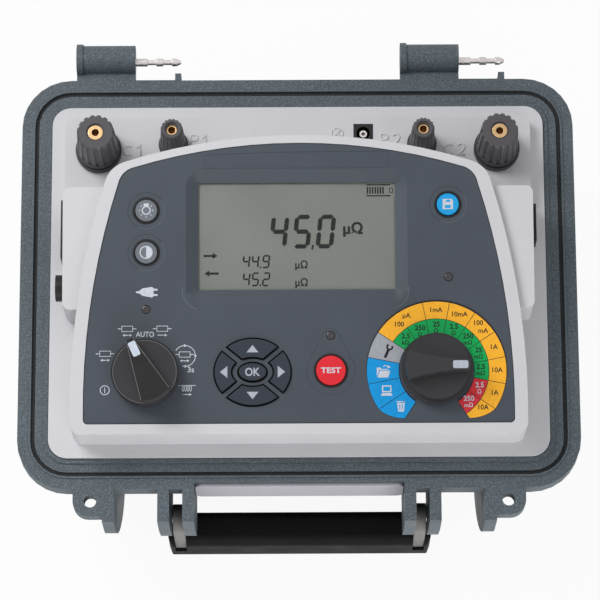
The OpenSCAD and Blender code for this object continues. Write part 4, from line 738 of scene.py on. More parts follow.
@dataclass
class Artwork:
    """Prints drawn in millimetres, which become one thin piece on a face."""

    thick: float
    parts: list[Piece] = field(default_factory=list)

    def keep(self, made: Piece) -> Piece:
        """Makes a mesh of a curve or a text and keeps it.

        Args:
            made: The curve or the text.

        Returns:
            The mesh.
        """
        take(made)
        bpy.ops.object.convert(target="MESH")
        self.parts.append(active())
        return self.parts[-1]

    def lay(self, shape: bpy.types.Curve, outlines: Sequence[Sequence[Point]], closed: bool) -> Piece:
        """Lays lines into a curve and keeps it.

        Args:
            shape: The curve, with its settings made.
            outlines: The points of each line.
            closed: True where the lines run back to their starts.

        Returns:
            The mesh.
        """
        for outline in outlines:
            spline = shape.splines.new("POLY")
            spline.points.add(len(outline) - 1)
            for point, (x, y) in zip(spline.points, outline):
                point.co = (x * MM, y * MM, 0.0, 1.0)
            spline.use_cyclic_u = closed
        made = bpy.data.objects.new(shape.name, shape)
        bpy.context.scene.collection.objects.link(made)
        return self.keep(made)

    def patch(self, *outlines: Sequence[Point]) -> None:
        """Draws a filled shape.

        Args:
            outlines: Its outline, and after it those of its holes.
        """
        shape = bpy.data.curves.new("patch", "CURVE")
        shape.dimensions = "2D"
        shape.fill_mode = "BOTH"
        shape.extrude = self.thick / 2 * MM
        self.lay(shape, outlines, True)

    def stroke(self, points: Sequence[Point], width: float, closed: bool = False) -> None:
        """Draws a line.

        Args:
            points: What it passes through.
            width: Width, mm.
            closed: True where it runs back to its start.
        """
        shape = bpy.data.curves.new("stroke", "CURVE")
        shape.dimensions = "3D"
        shape.bevel_depth = width / 2 * MM
        shape.bevel_resolution = 2
        shape.use_fill_caps = True
        made = self.lay(shape, [points], closed)
        made.scale.z = self.thick / width
        settle(made)

    def words(self, text: str, x: float, y: float, height: float, width: float = 0.0,
              bold: float = 0.0) -> None:
        """Draws a line of text round a middle point.

        Args:
            text: The text.
            x: Middle, to the right, mm.
            y: Middle of its capitals, mm.
            height: Height of its capitals, mm.
            width: Width of the whole, mm, or 0 for the font's own.
            bold: Thickening of each stroke, mm.
        """
        size = height / capital_height() * MM
        bpy.ops.object.text_add()
        made = active()
        made.data.body = text
        made.data.size = size
        made.data.offset = bold * MM
        made.data.extrude = self.thick / 2 * MM
        made.data.resolution_u = 3
        made = self.keep(made)
        across = [v.co.x for v in made.data.vertices]
        middle, span = (min(across) + max(across)) / 2, max(across) - min(across)
        stretch = width * MM / span if width else 1.0
        made.scale.x = stretch
        made.location = (x * MM - middle * stretch, (y - height / 2) * MM, 0.0)
        settle(made)

    def arrow(self, x: float, y: float, length: float, heads: Sequence[int], head: float = 1.3,
              width: float = 0.5) -> None:
        """Draws a level arrow.

        Args:
            x: Middle, to the right, mm.
            y: Middle, upwards, mm.
            length: Length over all, mm.
            heads: 1 for a head at the right, -1 at the left.
            head: Length of a head, mm.
            width: Width of the shaft, mm.
        """
        lap, spread = head * 0.7, head * 0.62
        ends = [length / 2 - (lap if side in heads else 0) for side in (-1, 1)]
        self.stroke([(x - ends[0], y), (x + ends[1], y)], width)
        for side in heads:
            tip, foot = x + side * length / 2, x + side * (length / 2 - head)
            self.patch([(tip, y), (foot, y + spread), (foot, y - spread)][::side])

    def resistor(self, x: float, y: float, line: float) -> None:
        """Draws the plain symbol of a resistor.

        Args:
            x: Middle, to the right, mm.
            y: Middle, upwards, mm.
            line: Width of its lines, mm.
        """
        body, span, height = 6.0, 10.4, 3.0
        self.stroke(box(x, y, body, height), line, True)
        for side in (-1, 1):
            self.stroke([(x + side * body / 2, y), (x + side * span / 2, y)], line)

    def figure(self, digit: str, left: float, low: float, width: float, height: float, bar: float,
               slant: float = 0.11) -> None:
        """Draws a seven-bar figure.

        Args:
            digit: The figure.
            left: Its left side at the foot, mm.
            low: Its foot, mm.
            width: Width of its box, mm.
            height: Height of its box, mm.
            bar: Width of a bar, mm.
            slant: Shift to the right per height.
        """
        wide, tall, gap = width - bar, height - bar, bar * 0.08
        half = bar / 2
        for segment in FIGURES[digit]:
            x0, x1, y0, y1 = segment.value
            ax, ay = left + half + x0 * wide, low + half + y0 * tall
            bx, by = left + half + x1 * wide, low + half + y1 * tall
            along, over = ((1, 0), (0, 1)) if x0 != x1 else ((0, 1), (-1, 0))
            ring = [(ax, ay, gap, 0), (ax, ay, half, -half), (bx, by, -half, -half),
                    (bx, by, -gap, 0), (bx, by, -half, half), (ax, ay, half, half)]
            points = [(px + along[0] * a + over[0] * o, py + along[1] * a + over[1] * o)
                      for px, py, a, o in ring]
            self.patch([(px + (py - low) * slant, py) for px, py in points])


@contextmanager
def drawing(face: Face, name: str, stuff: Stuff, lift: float = 0.0, thick: float = THIN, body: str = "case",
            slot: str | None = None) -> Iterator[Artwork]:
    """Lends an empty drawing and makes one piece of it afterwards.

    Args:
        face: The face that it lies on.
        name: Name of the piece.
        stuff: Its finish.
        lift: Height over the face, mm.
        thick: Thickness of the print, mm.
        body: The CAD body.
        slot: Not used.

    Yields:
        The drawing.
    """
    art = Artwork(thick)
    yield art
    made = joined(name, art.parts)
    with editing(made):
        bpy.ops.mesh.select_all(action="SELECT")
        bpy.ops.mesh.remove_doubles(threshold=PRINT_WELD)
        bpy.ops.mesh.normals_make_consistent(inside=False)
    made.matrix_world = face.matrix(lift)
    settle(made)
    dress(made, stuff, body)


# Sub-assemblies


@dataclass
class Plain:
    """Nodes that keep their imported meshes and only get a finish."""

    groups: dict[Stuff, tuple[str, ...]] = field(default_factory=lambda: {
        Stuff.SEAL: ("rim_seal",),
        Stuff.BOARD: ("control_board", "main_board"),
        Stuff.BATTERY: ("battery_pack",),
        Stuff.CORE: ("transformer",),
        Stuff.SINK: ("heat_sink",),
        Stuff.DARK: ("function_switch", "range_switch", "power_supply"),
        Stuff.LEAD: ("terminal_leads",),
        Stuff.STEEL: ("board_pillars", "case_screws", "control_screws", "function_shaft", "range_shaft",
                      "lamp_jack_pin", "usb_socket"),
        Stuff.GILT: ("terminal_nuts",),
    })

    def build(self) -> None:
        """Finishes the nodes."""
        for stuff, nodes in self.groups.items():
            for node in nodes:
                mesh = bpy.data.objects[node].data
                mesh.materials.clear()
                mesh.materials.append(stuff())


@dataclass
class Shell:
    """The lower case with its hinges, front plate and handle."""

    case_round: float = 0.7
    plate_round: float = 0.4
    grip_round: float = 3.4
    arm_round: float = 0.8
    pin_round: float = 0.35

    def build(self) -> None:
        """Makes the pieces of the case."""
        refined("case_base", Stuff.CASE, self.case_round)
        refined("front_plate", Stuff.PALE, self.plate_round)
        for side in ("left", "right"):
            refined(f"handle_arm_{side}", Stuff.ARM, self.arm_round)
            refined(f"hinge_pin_{side}", Stuff.STEEL, self.pin_round)
        refined("handle_pivots", Stuff.STEEL, self.pin_round)
        refined("handle_grip", Stuff.GRIP, self.grip_round)


@dataclass
class Panel:
    """The pale inner moulding with its sockets, terminals and raised letters."""

    deck: Face
    # Finish, slot and width of rounding, mm
    fittings: dict[str, tuple[Stuff, str, float]] = field(default_factory=lambda: {
        "panel_moulding": (Stuff.PANEL, "panel", 1.0),
        "mains_inlet": (Stuff.BLACK, "black_plastic", 0.5),
        "fuse_holder": (Stuff.BLACK, "black_plastic", 0.4),
        "fuse_cap": (Stuff.BLACK, "black_plastic", 0.5),
        "usb_cover": (Stuff.SEAL, "seal", 0.5),
        "lamp_jack": (Stuff.BLACK, "black_plastic", 0.3),
        "terminal_bases": (Stuff.DARK, "dark_plastic", 0.4),
        "terminal_studs": (Stuff.GILT, "gilt", 0.25)})
    washer_round: float = 0.1
    cap_round: float = 0.5
    letter_height: float = 6.7
    letter_line: float = 1.15
    relief: float = 0.9
    letters: dict[str, Point] = field(default_factory=lambda: {
        "C1": (-92.8, 74.8), "P1": (-55.6, 80.6), "P2": (52.6, 80.6), "C2": (89.6, 74.8)})
    lamp_sign: Point = (22.5, 84.5)
    lamp_radius: float = 3.2
    lamp_line: float = 0.8

    def build(self) -> None:
        """Makes the moulding and what is fitted to it."""
        for node, (stuff, slot, bevel) in self.fittings.items():
            refined(node, stuff, bevel)
        for place in ("c1", "p1", "p2", "c2"):
            refined(f"washer_{place}", Stuff.GILT, self.washer_round)
            refined(f"cap_{place}", Stuff.CAP, self.cap_round)
        self.mark()

    def mark(self) -> None:
        """Raises the letters beside the terminals and the lamp's sign."""
        shapes = {
            "C": circle(0.28, 0.5, 0.42, 55, 305, 14),
            "P": [(0.0, 0.0), (0.0, 1.0), (0.35, 1.0)] + circle(0.35, 0.75, 0.25, 80, -80, 7)
            + [(0.35, 0.5), (0.0, 0.5)],
            "1": [(0.0, 0.72), (0.32, 1.0), (0.32, 0.0)],
            "2": circle(0.3, 0.72, 0.28, 160, -20, 8) + [(0.42, 0.36), (0.0, 0.0), (0.58, 0.0)],
        }
        tall = self.letter_height
        with drawing(self.deck, "panel_letters", Stuff.PANEL, 0.1, self.relief, slot="panel") as art:
            for text, (x, y) in self.letters.items():
                for letter, shift in zip(text, (-0.78, 0.22)):
                    art.stroke(moved(shapes[letter], x + shift * tall, y - tall / 2, 0.0, tall), self.letter_line)
            art.stroke(circle(*self.lamp_sign, self.lamp_radius), self.lamp_line, True)
            for start in (225.0, 135.0):
                art.stroke(circle(*self.lamp_sign, self.lamp_radius, start, start + 180.0, 1), self.lamp_line)


@dataclass
class Fascia:
    """The dark sloping face with its lamps, rings and prints."""

    face: Face
    fascia_round: float = 0.9
    ring_round: float = 0.3
    lamp_round: float = 0.9
    raised: float = 0.08
    well_depth: float = 0.1
    fine: float = 0.35
    hair: float = 0.3
    line: float = 0.5
    name_left: float = -51.8
    name_right: float = 50.3
    name_low: float = 143.3
    name_high: float = 152.6
    name_bow: float = 1.9
    halo: float = 10.3
    test: Point = TEST_KEY
    test_reach: float = 13.4
    test_lamp: Point = (17.8, 47.8)
    test_lamp_reach: float = 4.6
    pad: Point = PAD
    # reach round the pad within which the fascia's sides get painted shade, mm
    pad_reach: float = 24.0
    # Left, right, foot and corner radius of the ridge round the window, whose lower corners get a painted
    # highlight, mm
    surround: tuple[float, float, float, float] = (-64.2, 61.3, 63.6, 10.5)
    buttons: tuple[Point, ...] = ((-84.5, 119.4), (-84.4, 95.7), (83.5, 122.2))
    well: float = 7.15
    well_width: float = 1.1
    test_well: float = 8.8
    resistors: tuple[Point, ...] = ((-107.0, 39.0), (-94.8, 52.9), (-75.4, 52.9), (-63.0, 38.4))
    # Middle of each arrow, mm, and the sides with a head
    arrows: tuple[tuple[float, float, tuple[int, ...]], ...] = (
        (-107.0, 35.4, (-1, 1)), (-94.8, 49.3, (-1, 1)), (-75.4, 49.3, (1,)), (-63.0, 34.9, (-1, 1)),
        (-61.8, 16.1, (1,)))
    arrow_length: float = 5.3
    # Text, middle, height, width and boldness of each word, mm
    words: tuple[tuple[str, float, float, float, float, float], ...] = (
        ("AUTO", -85.0, 49.8, 2.8, 10.1, 0.05), ("3s", -59.6, 30.0, 3.0, 0.0, 0.05))
    cycle_place: Point = (-62.9, 37.6)
    cycle_radius: float = 5.8
    coil_place: Point = (-61.8, 19.4)
    off_place: Point = (-107.1, 18.7)
    plug_place: Point = (-84.0, 73.4)
    plug: tuple[Point, ...] = (
        (-6.1, 0.4), (-4.3, 0.7), (-2.4, 2.2), (3.0, 3.0), (3.7, 2.1), (6.0, 1.8), (6.0, 0.95), (3.7, 0.85),
        (3.7, -1.0), (6.0, -1.15), (6.0, -2.0), (3.7, -2.2), (3.0, -3.0), (-2.4, -2.0), (-4.3, -0.6), (-6.1, -0.4))

    def build(self) -> None:
        """Makes the fascia and its prints."""
        made = refined("fascia", Stuff.FASCIA, self.fascia_round)
        x, s = self.pad
        middle = self.face.origin + (self.face.right * x + self.face.up * s) * MM
        # painted shade: the sides of the pad's opening turn black
        shade_sides(made, self.face.out, lambda place: (place - middle).length < self.pad_reach * MM)
        refined("button_rings", Stuff.BLACK, self.ring_round)
        refined("indicator_leds", Stuff.LAMP, self.lamp_round)
        self.lines()
        self.prints()

    def lines(self) -> None:
        """Draws painted shade and painted highlights along the fine moulded lines: the name area, the halos, the
        teardrop and the window's ridge, and painted shade in the wells.
        """
        steps = 16
        top = [(self.name_right - (self.name_right - self.name_left) * i / steps,
                self.name_high - self.name_bow * (i / steps) ** 3) for i in range(steps + 1)]
        # painted shade: dark outline of the name area, upper-left arcs of the halos and the teardrop
        with drawing(self.face, "fascia_lines", Stuff.HALO, thick=self.raised) as art:
            art.stroke([(self.name_left, self.name_low), (self.name_right, self.name_low)] + top, self.fine, True)
            for place in self.buttons:
                art.stroke(circle(*place, self.halo, 35, 245, 40), self.fine)
            art.stroke(circle(*self.test, self.test_reach, 160, 380, 48)
                       + circle(*self.test_lamp, self.test_lamp_reach, 20, 160, 14), self.hair, True)
        left, right, low, turn = self.surround
        # painted highlight: pale arcs at the window ridge's lower corners and on the lower-right sides of the
        # halos
        with drawing(self.face, "light_ridges", Stuff.RIDGE, thick=self.raised) as art:
            art.stroke(circle(left + turn, low + turn, turn, 170, 262, 20), self.line)
            art.stroke(circle(right - turn, low + turn, turn, 278, 370, 20), self.line)
            for place in self.buttons:
                art.stroke(circle(*place, self.halo, 245, 395, 30), self.hair)
        # painted shade: black rings where the wells round the buttons fall in shade
        with drawing(self.face, "button_wells", Stuff.BLACK, thick=self.well_depth) as art:
            for place in self.buttons:
                art.stroke(circle(*place, self.well, steps=56), self.well_width, True)
            art.stroke(circle(*self.test, self.test_well, steps=64), self.well_width, True)

    def prints(self) -> None:
        """Draws the white signs round the function knob and the plug sign."""
        with drawing(self.face, "fascia_prints", Stuff.WHITE, thick=SIGN) as art:
            for place in self.resistors:
                art.resistor(*place, self.line)
            for x, s, heads in self.arrows:
                art.arrow(x, s, self.arrow_length, heads)
            for row in self.words:
                art.words(*row)
            self.cycle(art)
            self.coil(art, *self.coil_place)
            x, s = self.off_place
            art.stroke(circle(x, s, 2.5), self.line, True)
            art.stroke([(x, s - 1.5), (x, s + 1.5)], self.line)
            art.patch(moved(self.plug, *self.plug_place)[::-1])

    def cycle(self, art: Artwork) -> None:
        """Draws the open circle with its three heads round the right-hand resistor.

        Args:
            art: The drawing.
        """
        art.stroke(circle(*self.cycle_place, self.cycle_radius, -105, 150, 40), 0.45)
        head = circle(0, 0, 1.0, 0, 359, 3)[:3]
        for angle in (90, 0, -90):
            art.patch(moved(head, *on_circle(*self.cycle_place, self.cycle_radius, angle), angle - 90))

    def coil(self, art: Artwork, x: float, s: float) -> None:
        """Draws four loops under a lead line.

        Args:
            art: The drawing.
            x: Middle, to the right, mm.
            s: Middle, up the face, mm.
        """
        art.stroke([(x - 4.9, s + 1.7), (x + 4.9, s + 1.7)], self.line)
        loop = circle(0, 0, 1.0, steps=20)
        for i in range(4):
            middle = x - 2.1 + 1.4 * i
            art.stroke([(middle + px * 0.5, s + 0.1 + py * 1.6) for px, py in loop], 0.38, True)


@dataclass
class Display:
    """The window, its cell and the figures that it shows."""

    face: Face
    pane_gap: float = 0.15
    lift: float = 0.02
    # Left, right, foot, head and corner radius, mm
    window: tuple[float, float, float, float, float] = (-57.0, 53.8, 75.6, 128.0, 2.0)
    # width of the painted highlight line round the window, mm
    window_highlight_line: float = 0.45
    reading: tuple[tuple[str, float], ...] = (("4", -16.6), ("5", -3.6), ("0", 9.5))
    # Foot, width, height and bar of its figures, mm
    reading_size: tuple[float, float, float, float] = (98.6, 9.9, 19.2, 2.5)
    point: tuple[Point, ...] = ((7.3, 97.9), (8.3, 97.9), (8.9, 100.6), (7.7, 100.6))
    row_left: float = -31.4
    rows: tuple[tuple[str, float, float], ...] = (("449", 87.6, 7.5), ("452", 77.4, 7.9))
    row_steps: tuple[float, float, float] = (0.0, 5.0, 11.0)
    row_width: float = 4.2
    row_bar: float = 0.95
    row_point: Point = (10.3, 0.45)
    # Middle, height, width and boldness of each unit, mm
    units: tuple[tuple[float, float, float, float, float], ...] = (
        (30.6, 109.9, 5.9, 11.0, 0.3), (1.8, 89.5, 4.05, 7.0, 0.14), (1.8, 79.5, 4.05, 7.0, 0.14))
    # Middle, length and side of the head of each arrow
    arrows: tuple[tuple[float, float, float, int], ...] = ((-48.8, 94.7, 7.8, 1), (-48.3, 84.7, 7.9, -1))
    arrow_head: float = 2.8
    arrow_line: float = 1.2
    charge: Point = (45.3, 131.5)

    def build(self) -> None:
        """Makes the cell, its figures and the pane."""
        refined("display_module", Stuff.CELL, 0.0)
        pane = refined("display_lens", Stuff.PANE, 0.0)
        with editing(pane) as mesh:
            pick_faces(pane, mesh, lambda made: made.normal.dot(self.face.out) < -0.9)
            bpy.ops.transform.translate(value=self.face.out * self.pane_gap * MM)
        self.figures(self.face.top_of("display_module") + self.lift)

    def figures(self, level: float) -> None:
        """Draws the reading, the two small readings, their arrows and the battery.

        Args:
            level: Height of the prints over the face, mm.
        """
        with drawing(self.face, "display_figures", Stuff.SEGMENT, level) as art:
            for digit, left in self.reading:
                art.figure(digit, left, *self.reading_size)
            art.patch(self.point)
            for text, low, height in self.rows:
                for digit, step in zip(text, self.row_steps):
                    art.figure(digit, self.row_left + step, low, self.row_width, height, self.row_bar)
                art.patch(moved(rounded(*self.row_point, 0.9, 0.9, 0.15), self.row_left, low))
            for x, s, height, width, bold in self.units:
                art.words("µΩ", x, s, height, width, bold)
            for x, s, length, side in self.arrows:
                art.arrow(x, s, length, (side,), self.arrow_head, self.arrow_line)
            self.battery(art, *self.charge)
        left, right, low, high, turn = self.window
        # painted highlight along the window's left, bottom and right edges
        with drawing(self.face, "window_edge", Stuff.FRAME, level) as art:
            art.stroke([(left, high)] + circle(left + turn, low + turn, turn, 180, 270, 8)
                       + circle(right - turn, low + turn, turn, 270, 360, 8) + [(right, high)], self.window_highlight_line)

    def battery(self, art: Artwork, x: float, s: float) -> None:
        """Draws the charge sign: rails, seven bars and the contact.

        Args:
            art: The drawing.
            x: Middle, to the right, mm.
            s: Middle, up the face, mm.
        """
        for side in (-1, 1):
            art.stroke([(x - 7.0, s + side * 3.1), (x + 6.4, s + side * 3.1)], 0.7)
        for i in range(7):
            art.patch(box(x - 6.4 + 1.45 * i, s, 0.85, 3.9))
        art.stroke([(x + 5.9, s - 1.2), (x + 7.6, s - 1.2), (x + 7.6, s + 1.2), (x + 5.9, s + 1.2)], 0.6, True)


@dataclass
class Keys:
    """The round buttons, the five-way pad and their signs."""

    face: Face
    button_round: float = 0.6
    pad_round: float = 0.45
    buttons: dict[str, tuple[Stuff, str]] = field(default_factory=lambda: {
        "light_button": (Stuff.GREY_KEY, "grey_key"), "contrast_button": (Stuff.GREY_KEY, "grey_key"),
        "save_button": (Stuff.BLUE_KEY, "blue_key"), "test_button": (Stuff.RED_KEY, "red_key")})
    pad: Point = PAD
    # Place from the pad's middle, mm, and turn of each triangle
    arrows: dict[str, tuple[float, float, float]] = field(default_factory=lambda: {
        "up": (0.0, 12.9, 90.0), "down": (0.0, -13.1, 270.0), "left": (-15.9, 0.0, 180.0),
        "right": (15.9, 0.0, 0.0)})
    light: Point = (-84.4, 119.3)
    ray_angles: tuple[int, ...] = (180, 225, 270, 315, 0, 42, 138)
    contrast: Point = (-84.4, 95.6)
    save: Point = (83.4, 122.1)
    test: Point = TEST_KEY

    def build(self) -> None:
        """Makes the keys and their signs."""
        for node, (stuff, slot) in self.buttons.items():
            refined(node, stuff, self.button_round)
        for key in ("ok", "up", "down", "left", "right"):
            made = refined(f"{key}_key", Stuff.PAD, self.pad_round)
            # painted shade: the key's sides turn black
            shade_sides(made, self.face.out, lambda middle: True)
        self.pad_signs()
        self.button_signs()

    @contextmanager
    def sign(self, node: str, stuff: Stuff) -> Iterator[Artwork]:
        """Lends the drawing of the sign on a key.

        Args:
            node: The key's node, which is also its body.
            stuff: Finish of the sign.

        Yields:
            The drawing.
        """
        name = f"{node.split('_')[0]}_sign"
        with drawing(self.face, name, stuff, self.face.top_of(node), SIGN, node) as art:
            yield art

    def pad_signs(self) -> None:
        """Draws the triangles and the middle word of the pad."""
        x, s = self.pad
        for key, (dx, ds, turn) in self.arrows.items():
            with self.sign(f"{key}_key", Stuff.SYMBOL) as art:
                art.patch(moved([(-2.0, -3.3), (2.1, 0.0), (-2.0, 3.3)], x + dx, s + ds, turn))
        with self.sign("ok_key", Stuff.SYMBOL) as art:
            art.words("OK", x, s, 4.3, 8.2, 0.14)

    def button_signs(self) -> None:
        """Draws the lamp, the contrast disc, the disk and the word on the round buttons."""
        x, s = self.light
        with self.sign("light_button", Stuff.WHITE) as art:
            art.stroke(circle(x, s, 2.2), 0.7, True)
            art.patch(box(x, s + 3.2, 2.9, 1.4))
            for angle in self.ray_angles:
                art.stroke([on_circle(x, s, radius, angle) for radius in (3.3, 4.1)], 0.6)
        with self.sign("contrast_button", Stuff.WHITE) as art:
            art.stroke(circle(*self.contrast, 3.35), 0.65, True)
            art.patch(circle(*self.contrast, 3.3, -90, 90, 24))
        x, s = self.save
        disk = [(-2.9, -2.9), (2.9, -2.9), (2.9, 2.1), (2.1, 2.9), (-2.9, 2.9)]
        with self.sign("save_button", Stuff.WHITE) as art:
            art.patch(moved(disk, x, s), box(x, s - 1.4, 3.2, 1.7)[::-1], box(x + 0.2, s + 1.75, 2.3, 1.2)[::-1])
        with self.sign("test_button", Stuff.WHITE) as art:
            art.words("TEST", *self.test, 2.9, 11.2, 0.12)


@dataclass
class Dial:
    """The coloured ranges printed round the range knob."""

    face: Face
    x: float = 76.2
    s: float = 28.75
    inner: float = 20.8
    middle: float = 28.9
    outer: float = 38.7
    start: float = 236.25
    end: float = -56.25
    step: float = 22.5
    foot_start: float = 58.0
    foot_end: float = 33.75
    foot_drop: float = 6.9
    foot_bulge: float = 1.35
    gap: float = 0.17
    sector_lift: float = 0.03
    text_lift: float = 0.04
    range_height: float = 2.6
    number_height: float = 2.7
    unit_height: float = 2.2
    unit_shift: Point = (-0.2, -3.7)
    # Text and place from the dial's middle, mm
    ranges: tuple[tuple[str, float, float], ...] = (
        ("100", -20.3, 26.0), ("µA", -16.3, 30.9), ("1mA", 0.2, 34.0), ("10mA", 13.2, 31.5), ("100", 23.5, 26.6),
        ("mA", 26.0, 22.2), ("1A", 32.0, 13.1), ("10A", 33.6, 0.2), ("1A", 32.1, -12.4), ("10A", 25.6, -20.5))
    green: tuple[tuple[str, str, float, float], ...] = (
        ("2.5", "kΩ", -16.9, 19.4), ("250", "Ω", -8.9, 23.9), ("25", "Ω", 0.1, 25.9), ("2.5", "Ω", 9.8, 24.6),
        ("250", "mΩ", 17.6, 19.2), ("25", "mΩ", 23.3, 11.4), ("2.5", "mΩ", 24.4, 2.1))
    red: tuple[tuple[str, str, float, float], ...] = (("2.5", "Ω", 23.6, -8.1), ("250", "mΩ", 17.6, -15.6))

    def build(self) -> None:
        """Makes the label's backing, its sectors and their texts."""
        refined("dial_label", Stuff.LABEL, 0.0)
        level = self.face.top_of("dial_label")
        with drawing(self.face, "dial_backing", Stuff.LABEL, level, slot="print") as art:
            edge = [self.rim(angle, self.outer) for angle in spaced(self.end, self.start, 120)]
            art.patch(edge + circle(self.x, self.s, self.inner, self.start, self.end, 80))
        level += self.sector_lift
        for stuff, sectors in self.rings().items():
            with drawing(self.face, f"dial_{stuff.name.lower()}", stuff, level, slot="print") as art:
                for near, far, place, count in sectors:
                    first = self.start - self.step * place
                    art.patch(self.sector(near, far, first, first - self.step * count))
        level += self.text_lift
        self.texts(level)
        self.light_signs(level)
        self.wrench(level)

    def rings(self) -> dict[Stuff, list[tuple[float, float, int, int]]]:
        """The sectors of each colour.

        Returns:
            Inner and outer radius, mm, and first step and number of steps of each one.
        """
        inner, middle, outer = self.inner, self.middle, self.outer
        return {
            Stuff.BLUE: [(inner, outer, place, 1) for place in range(3)],
            Stuff.GREY: [(inner, outer, 3, 1)],
            Stuff.AMBER: [(middle, outer, 4, 2)] + [(middle, outer, place, 1) for place in range(6, 13)],
            Stuff.GREEN: [(inner, middle, place, 1) for place in range(4, 11)],
            Stuff.RED: [(inner, middle, place, 1) for place in (11, 12)],
        }

    def sector(self, near: float, far: float, first: float, last: float) -> list[Point]:
        """The outline of one sector, with a dark gap left round it.

        Args:
            near: Inner radius, mm.
            far: Outer radius, mm.
            first: Larger angle, degrees.
            last: Smaller angle, degrees.

        Returns:
            The outline.
        """
        near, far = near + self.gap, far - self.gap
        out_trim, in_trim = math.degrees(self.gap / far), math.degrees(self.gap / near)
        points = [self.rim(angle, far) for angle in spaced(last + out_trim, first - out_trim, 12)]
        points += circle(self.x, self.s, near, first - in_trim, last + in_trim, 12)
        return points

    def rim(self, angle: float, far: float) -> Point:
        """A place on a sector's outer edge, which draws in towards the foot of the dial.

        Args:
            angle: Its angle, degrees.
            far: The radius away from the foot, mm.

        Returns:
            The place, mm.
        """
        from_foot = abs((angle + 270.0) % 360.0 - 180.0)
        share = max(0.0, (self.foot_start - from_foot) / (self.foot_start - self.foot_end))
        radius = min(far, self.outer - self.foot_drop * share ** self.foot_bulge)
        return circle(self.x, self.s, radius, angle, angle + 1.0, 1)[0]

    def texts(self, level: float) -> None:
        """Draws the ranges' numbers and units.

        Args:
            level: Height over the face, mm.
        """
        with drawing(self.face, "dial_dark_texts", Stuff.BLACK_PRINT, level, slot="print") as art:
            for text, dx, ds in self.ranges:
                art.words(text, self.x + dx, self.s + ds, self.range_height, bold=0.06)
            self.pairs(art, self.green)
        with drawing(self.face, "dial_light_texts", Stuff.WHITE, level, slot="print") as art:
            self.pairs(art, self.red)

    def pairs(self, art: Artwork, rows: Sequence[tuple[str, str, float, float]]) -> None:
        """Draws numbers with their units under them.

        Args:
            art: The drawing.
            rows: Number, unit and place from the dial's middle of each pair.
        """
        right, up = self.unit_shift
        for number, unit, dx, ds in rows:
            x, s = self.x + dx, self.s + ds
            art.words(number, x, s, self.number_height, bold=0.1)
            art.words(unit, x + right, s + up, self.unit_height, bold=0.06)

    def light_signs(self, level: float) -> None:
        """Draws the bin, screen and folder signs.

        Args:
            level: Height over the face, mm.
        """
        with drawing(self.face, "dial_light_signs", Stuff.WHITE, level, slot="print") as art:
            x, s = self.x - 19.9, self.s - 19.9
            art.patch(*(moved(outline, x, s) for outline in (
                [(-2.1, 1.9), (2.1, 1.9), (1.6, -2.9), (-1.6, -2.9)],
                [(-1.0, 1.1), (-0.8, -2.1), (-0.4, -2.1), (-0.4, 1.1)],
                [(0.4, 1.1), (0.4, -2.1), (0.8, -2.1), (1.0, 1.1)])))
            art.stroke([(x - 2.5, s + 2.6), (x + 2.5, s + 2.6)], 0.6)
            x, s = self.x - 27.7, self.s - 11.0
            art.patch(rounded(x, s + 0.9, 5.2, 3.9, 0.3), rounded(x, s + 0.9, 3.8, 2.5, 0.2)[::-1])
            art.patch(moved([(-3.3, -2.9), (3.3, -2.9), (2.5, -1.5), (-2.5, -1.5)], x, s))
            x, s = self.x - 29.4, self.s - 0.8
            art.patch(moved([(-3.3, -3.0), (2.6, -3.0), (3.8, 0.9), (-2.0, 0.9)], x, s))
            art.patch(moved([(-3.7, -2.6), (-3.7, 2.6), (-1.6, 2.6), (-1.0, 1.8), (2.6, 1.8), (2.6, 1.3),
                             (-2.3, 1.3)], x, s))
            art.stroke(circle(x + 1.2, s + 2.2, 1.5, 20, 150, 8), 0.5)
            art.patch(moved([(0, -0.8), (1.4, 0.4), (-0.6, 0.8)], x + 2.6, s + 2.9, -20))

    def wrench(self, level: float) -> None:
        """Draws the wrench sign.

        Args:
            level: Height over the face, mm.
        """
        x, s, turn = self.x - 26.9, self.s + 10.8, 66.0
        with drawing(self.face, "dial_dark_signs", Stuff.BLACK_PRINT, level, slot="print") as art:
            art.stroke(moved([(-3.9, 0.0), (1.4, 0.0)], x, s, turn), 1.5)
            art.stroke(moved(circle(2.7, 0, 1.5, 50, 310, 14), x, s, turn), 1.0)


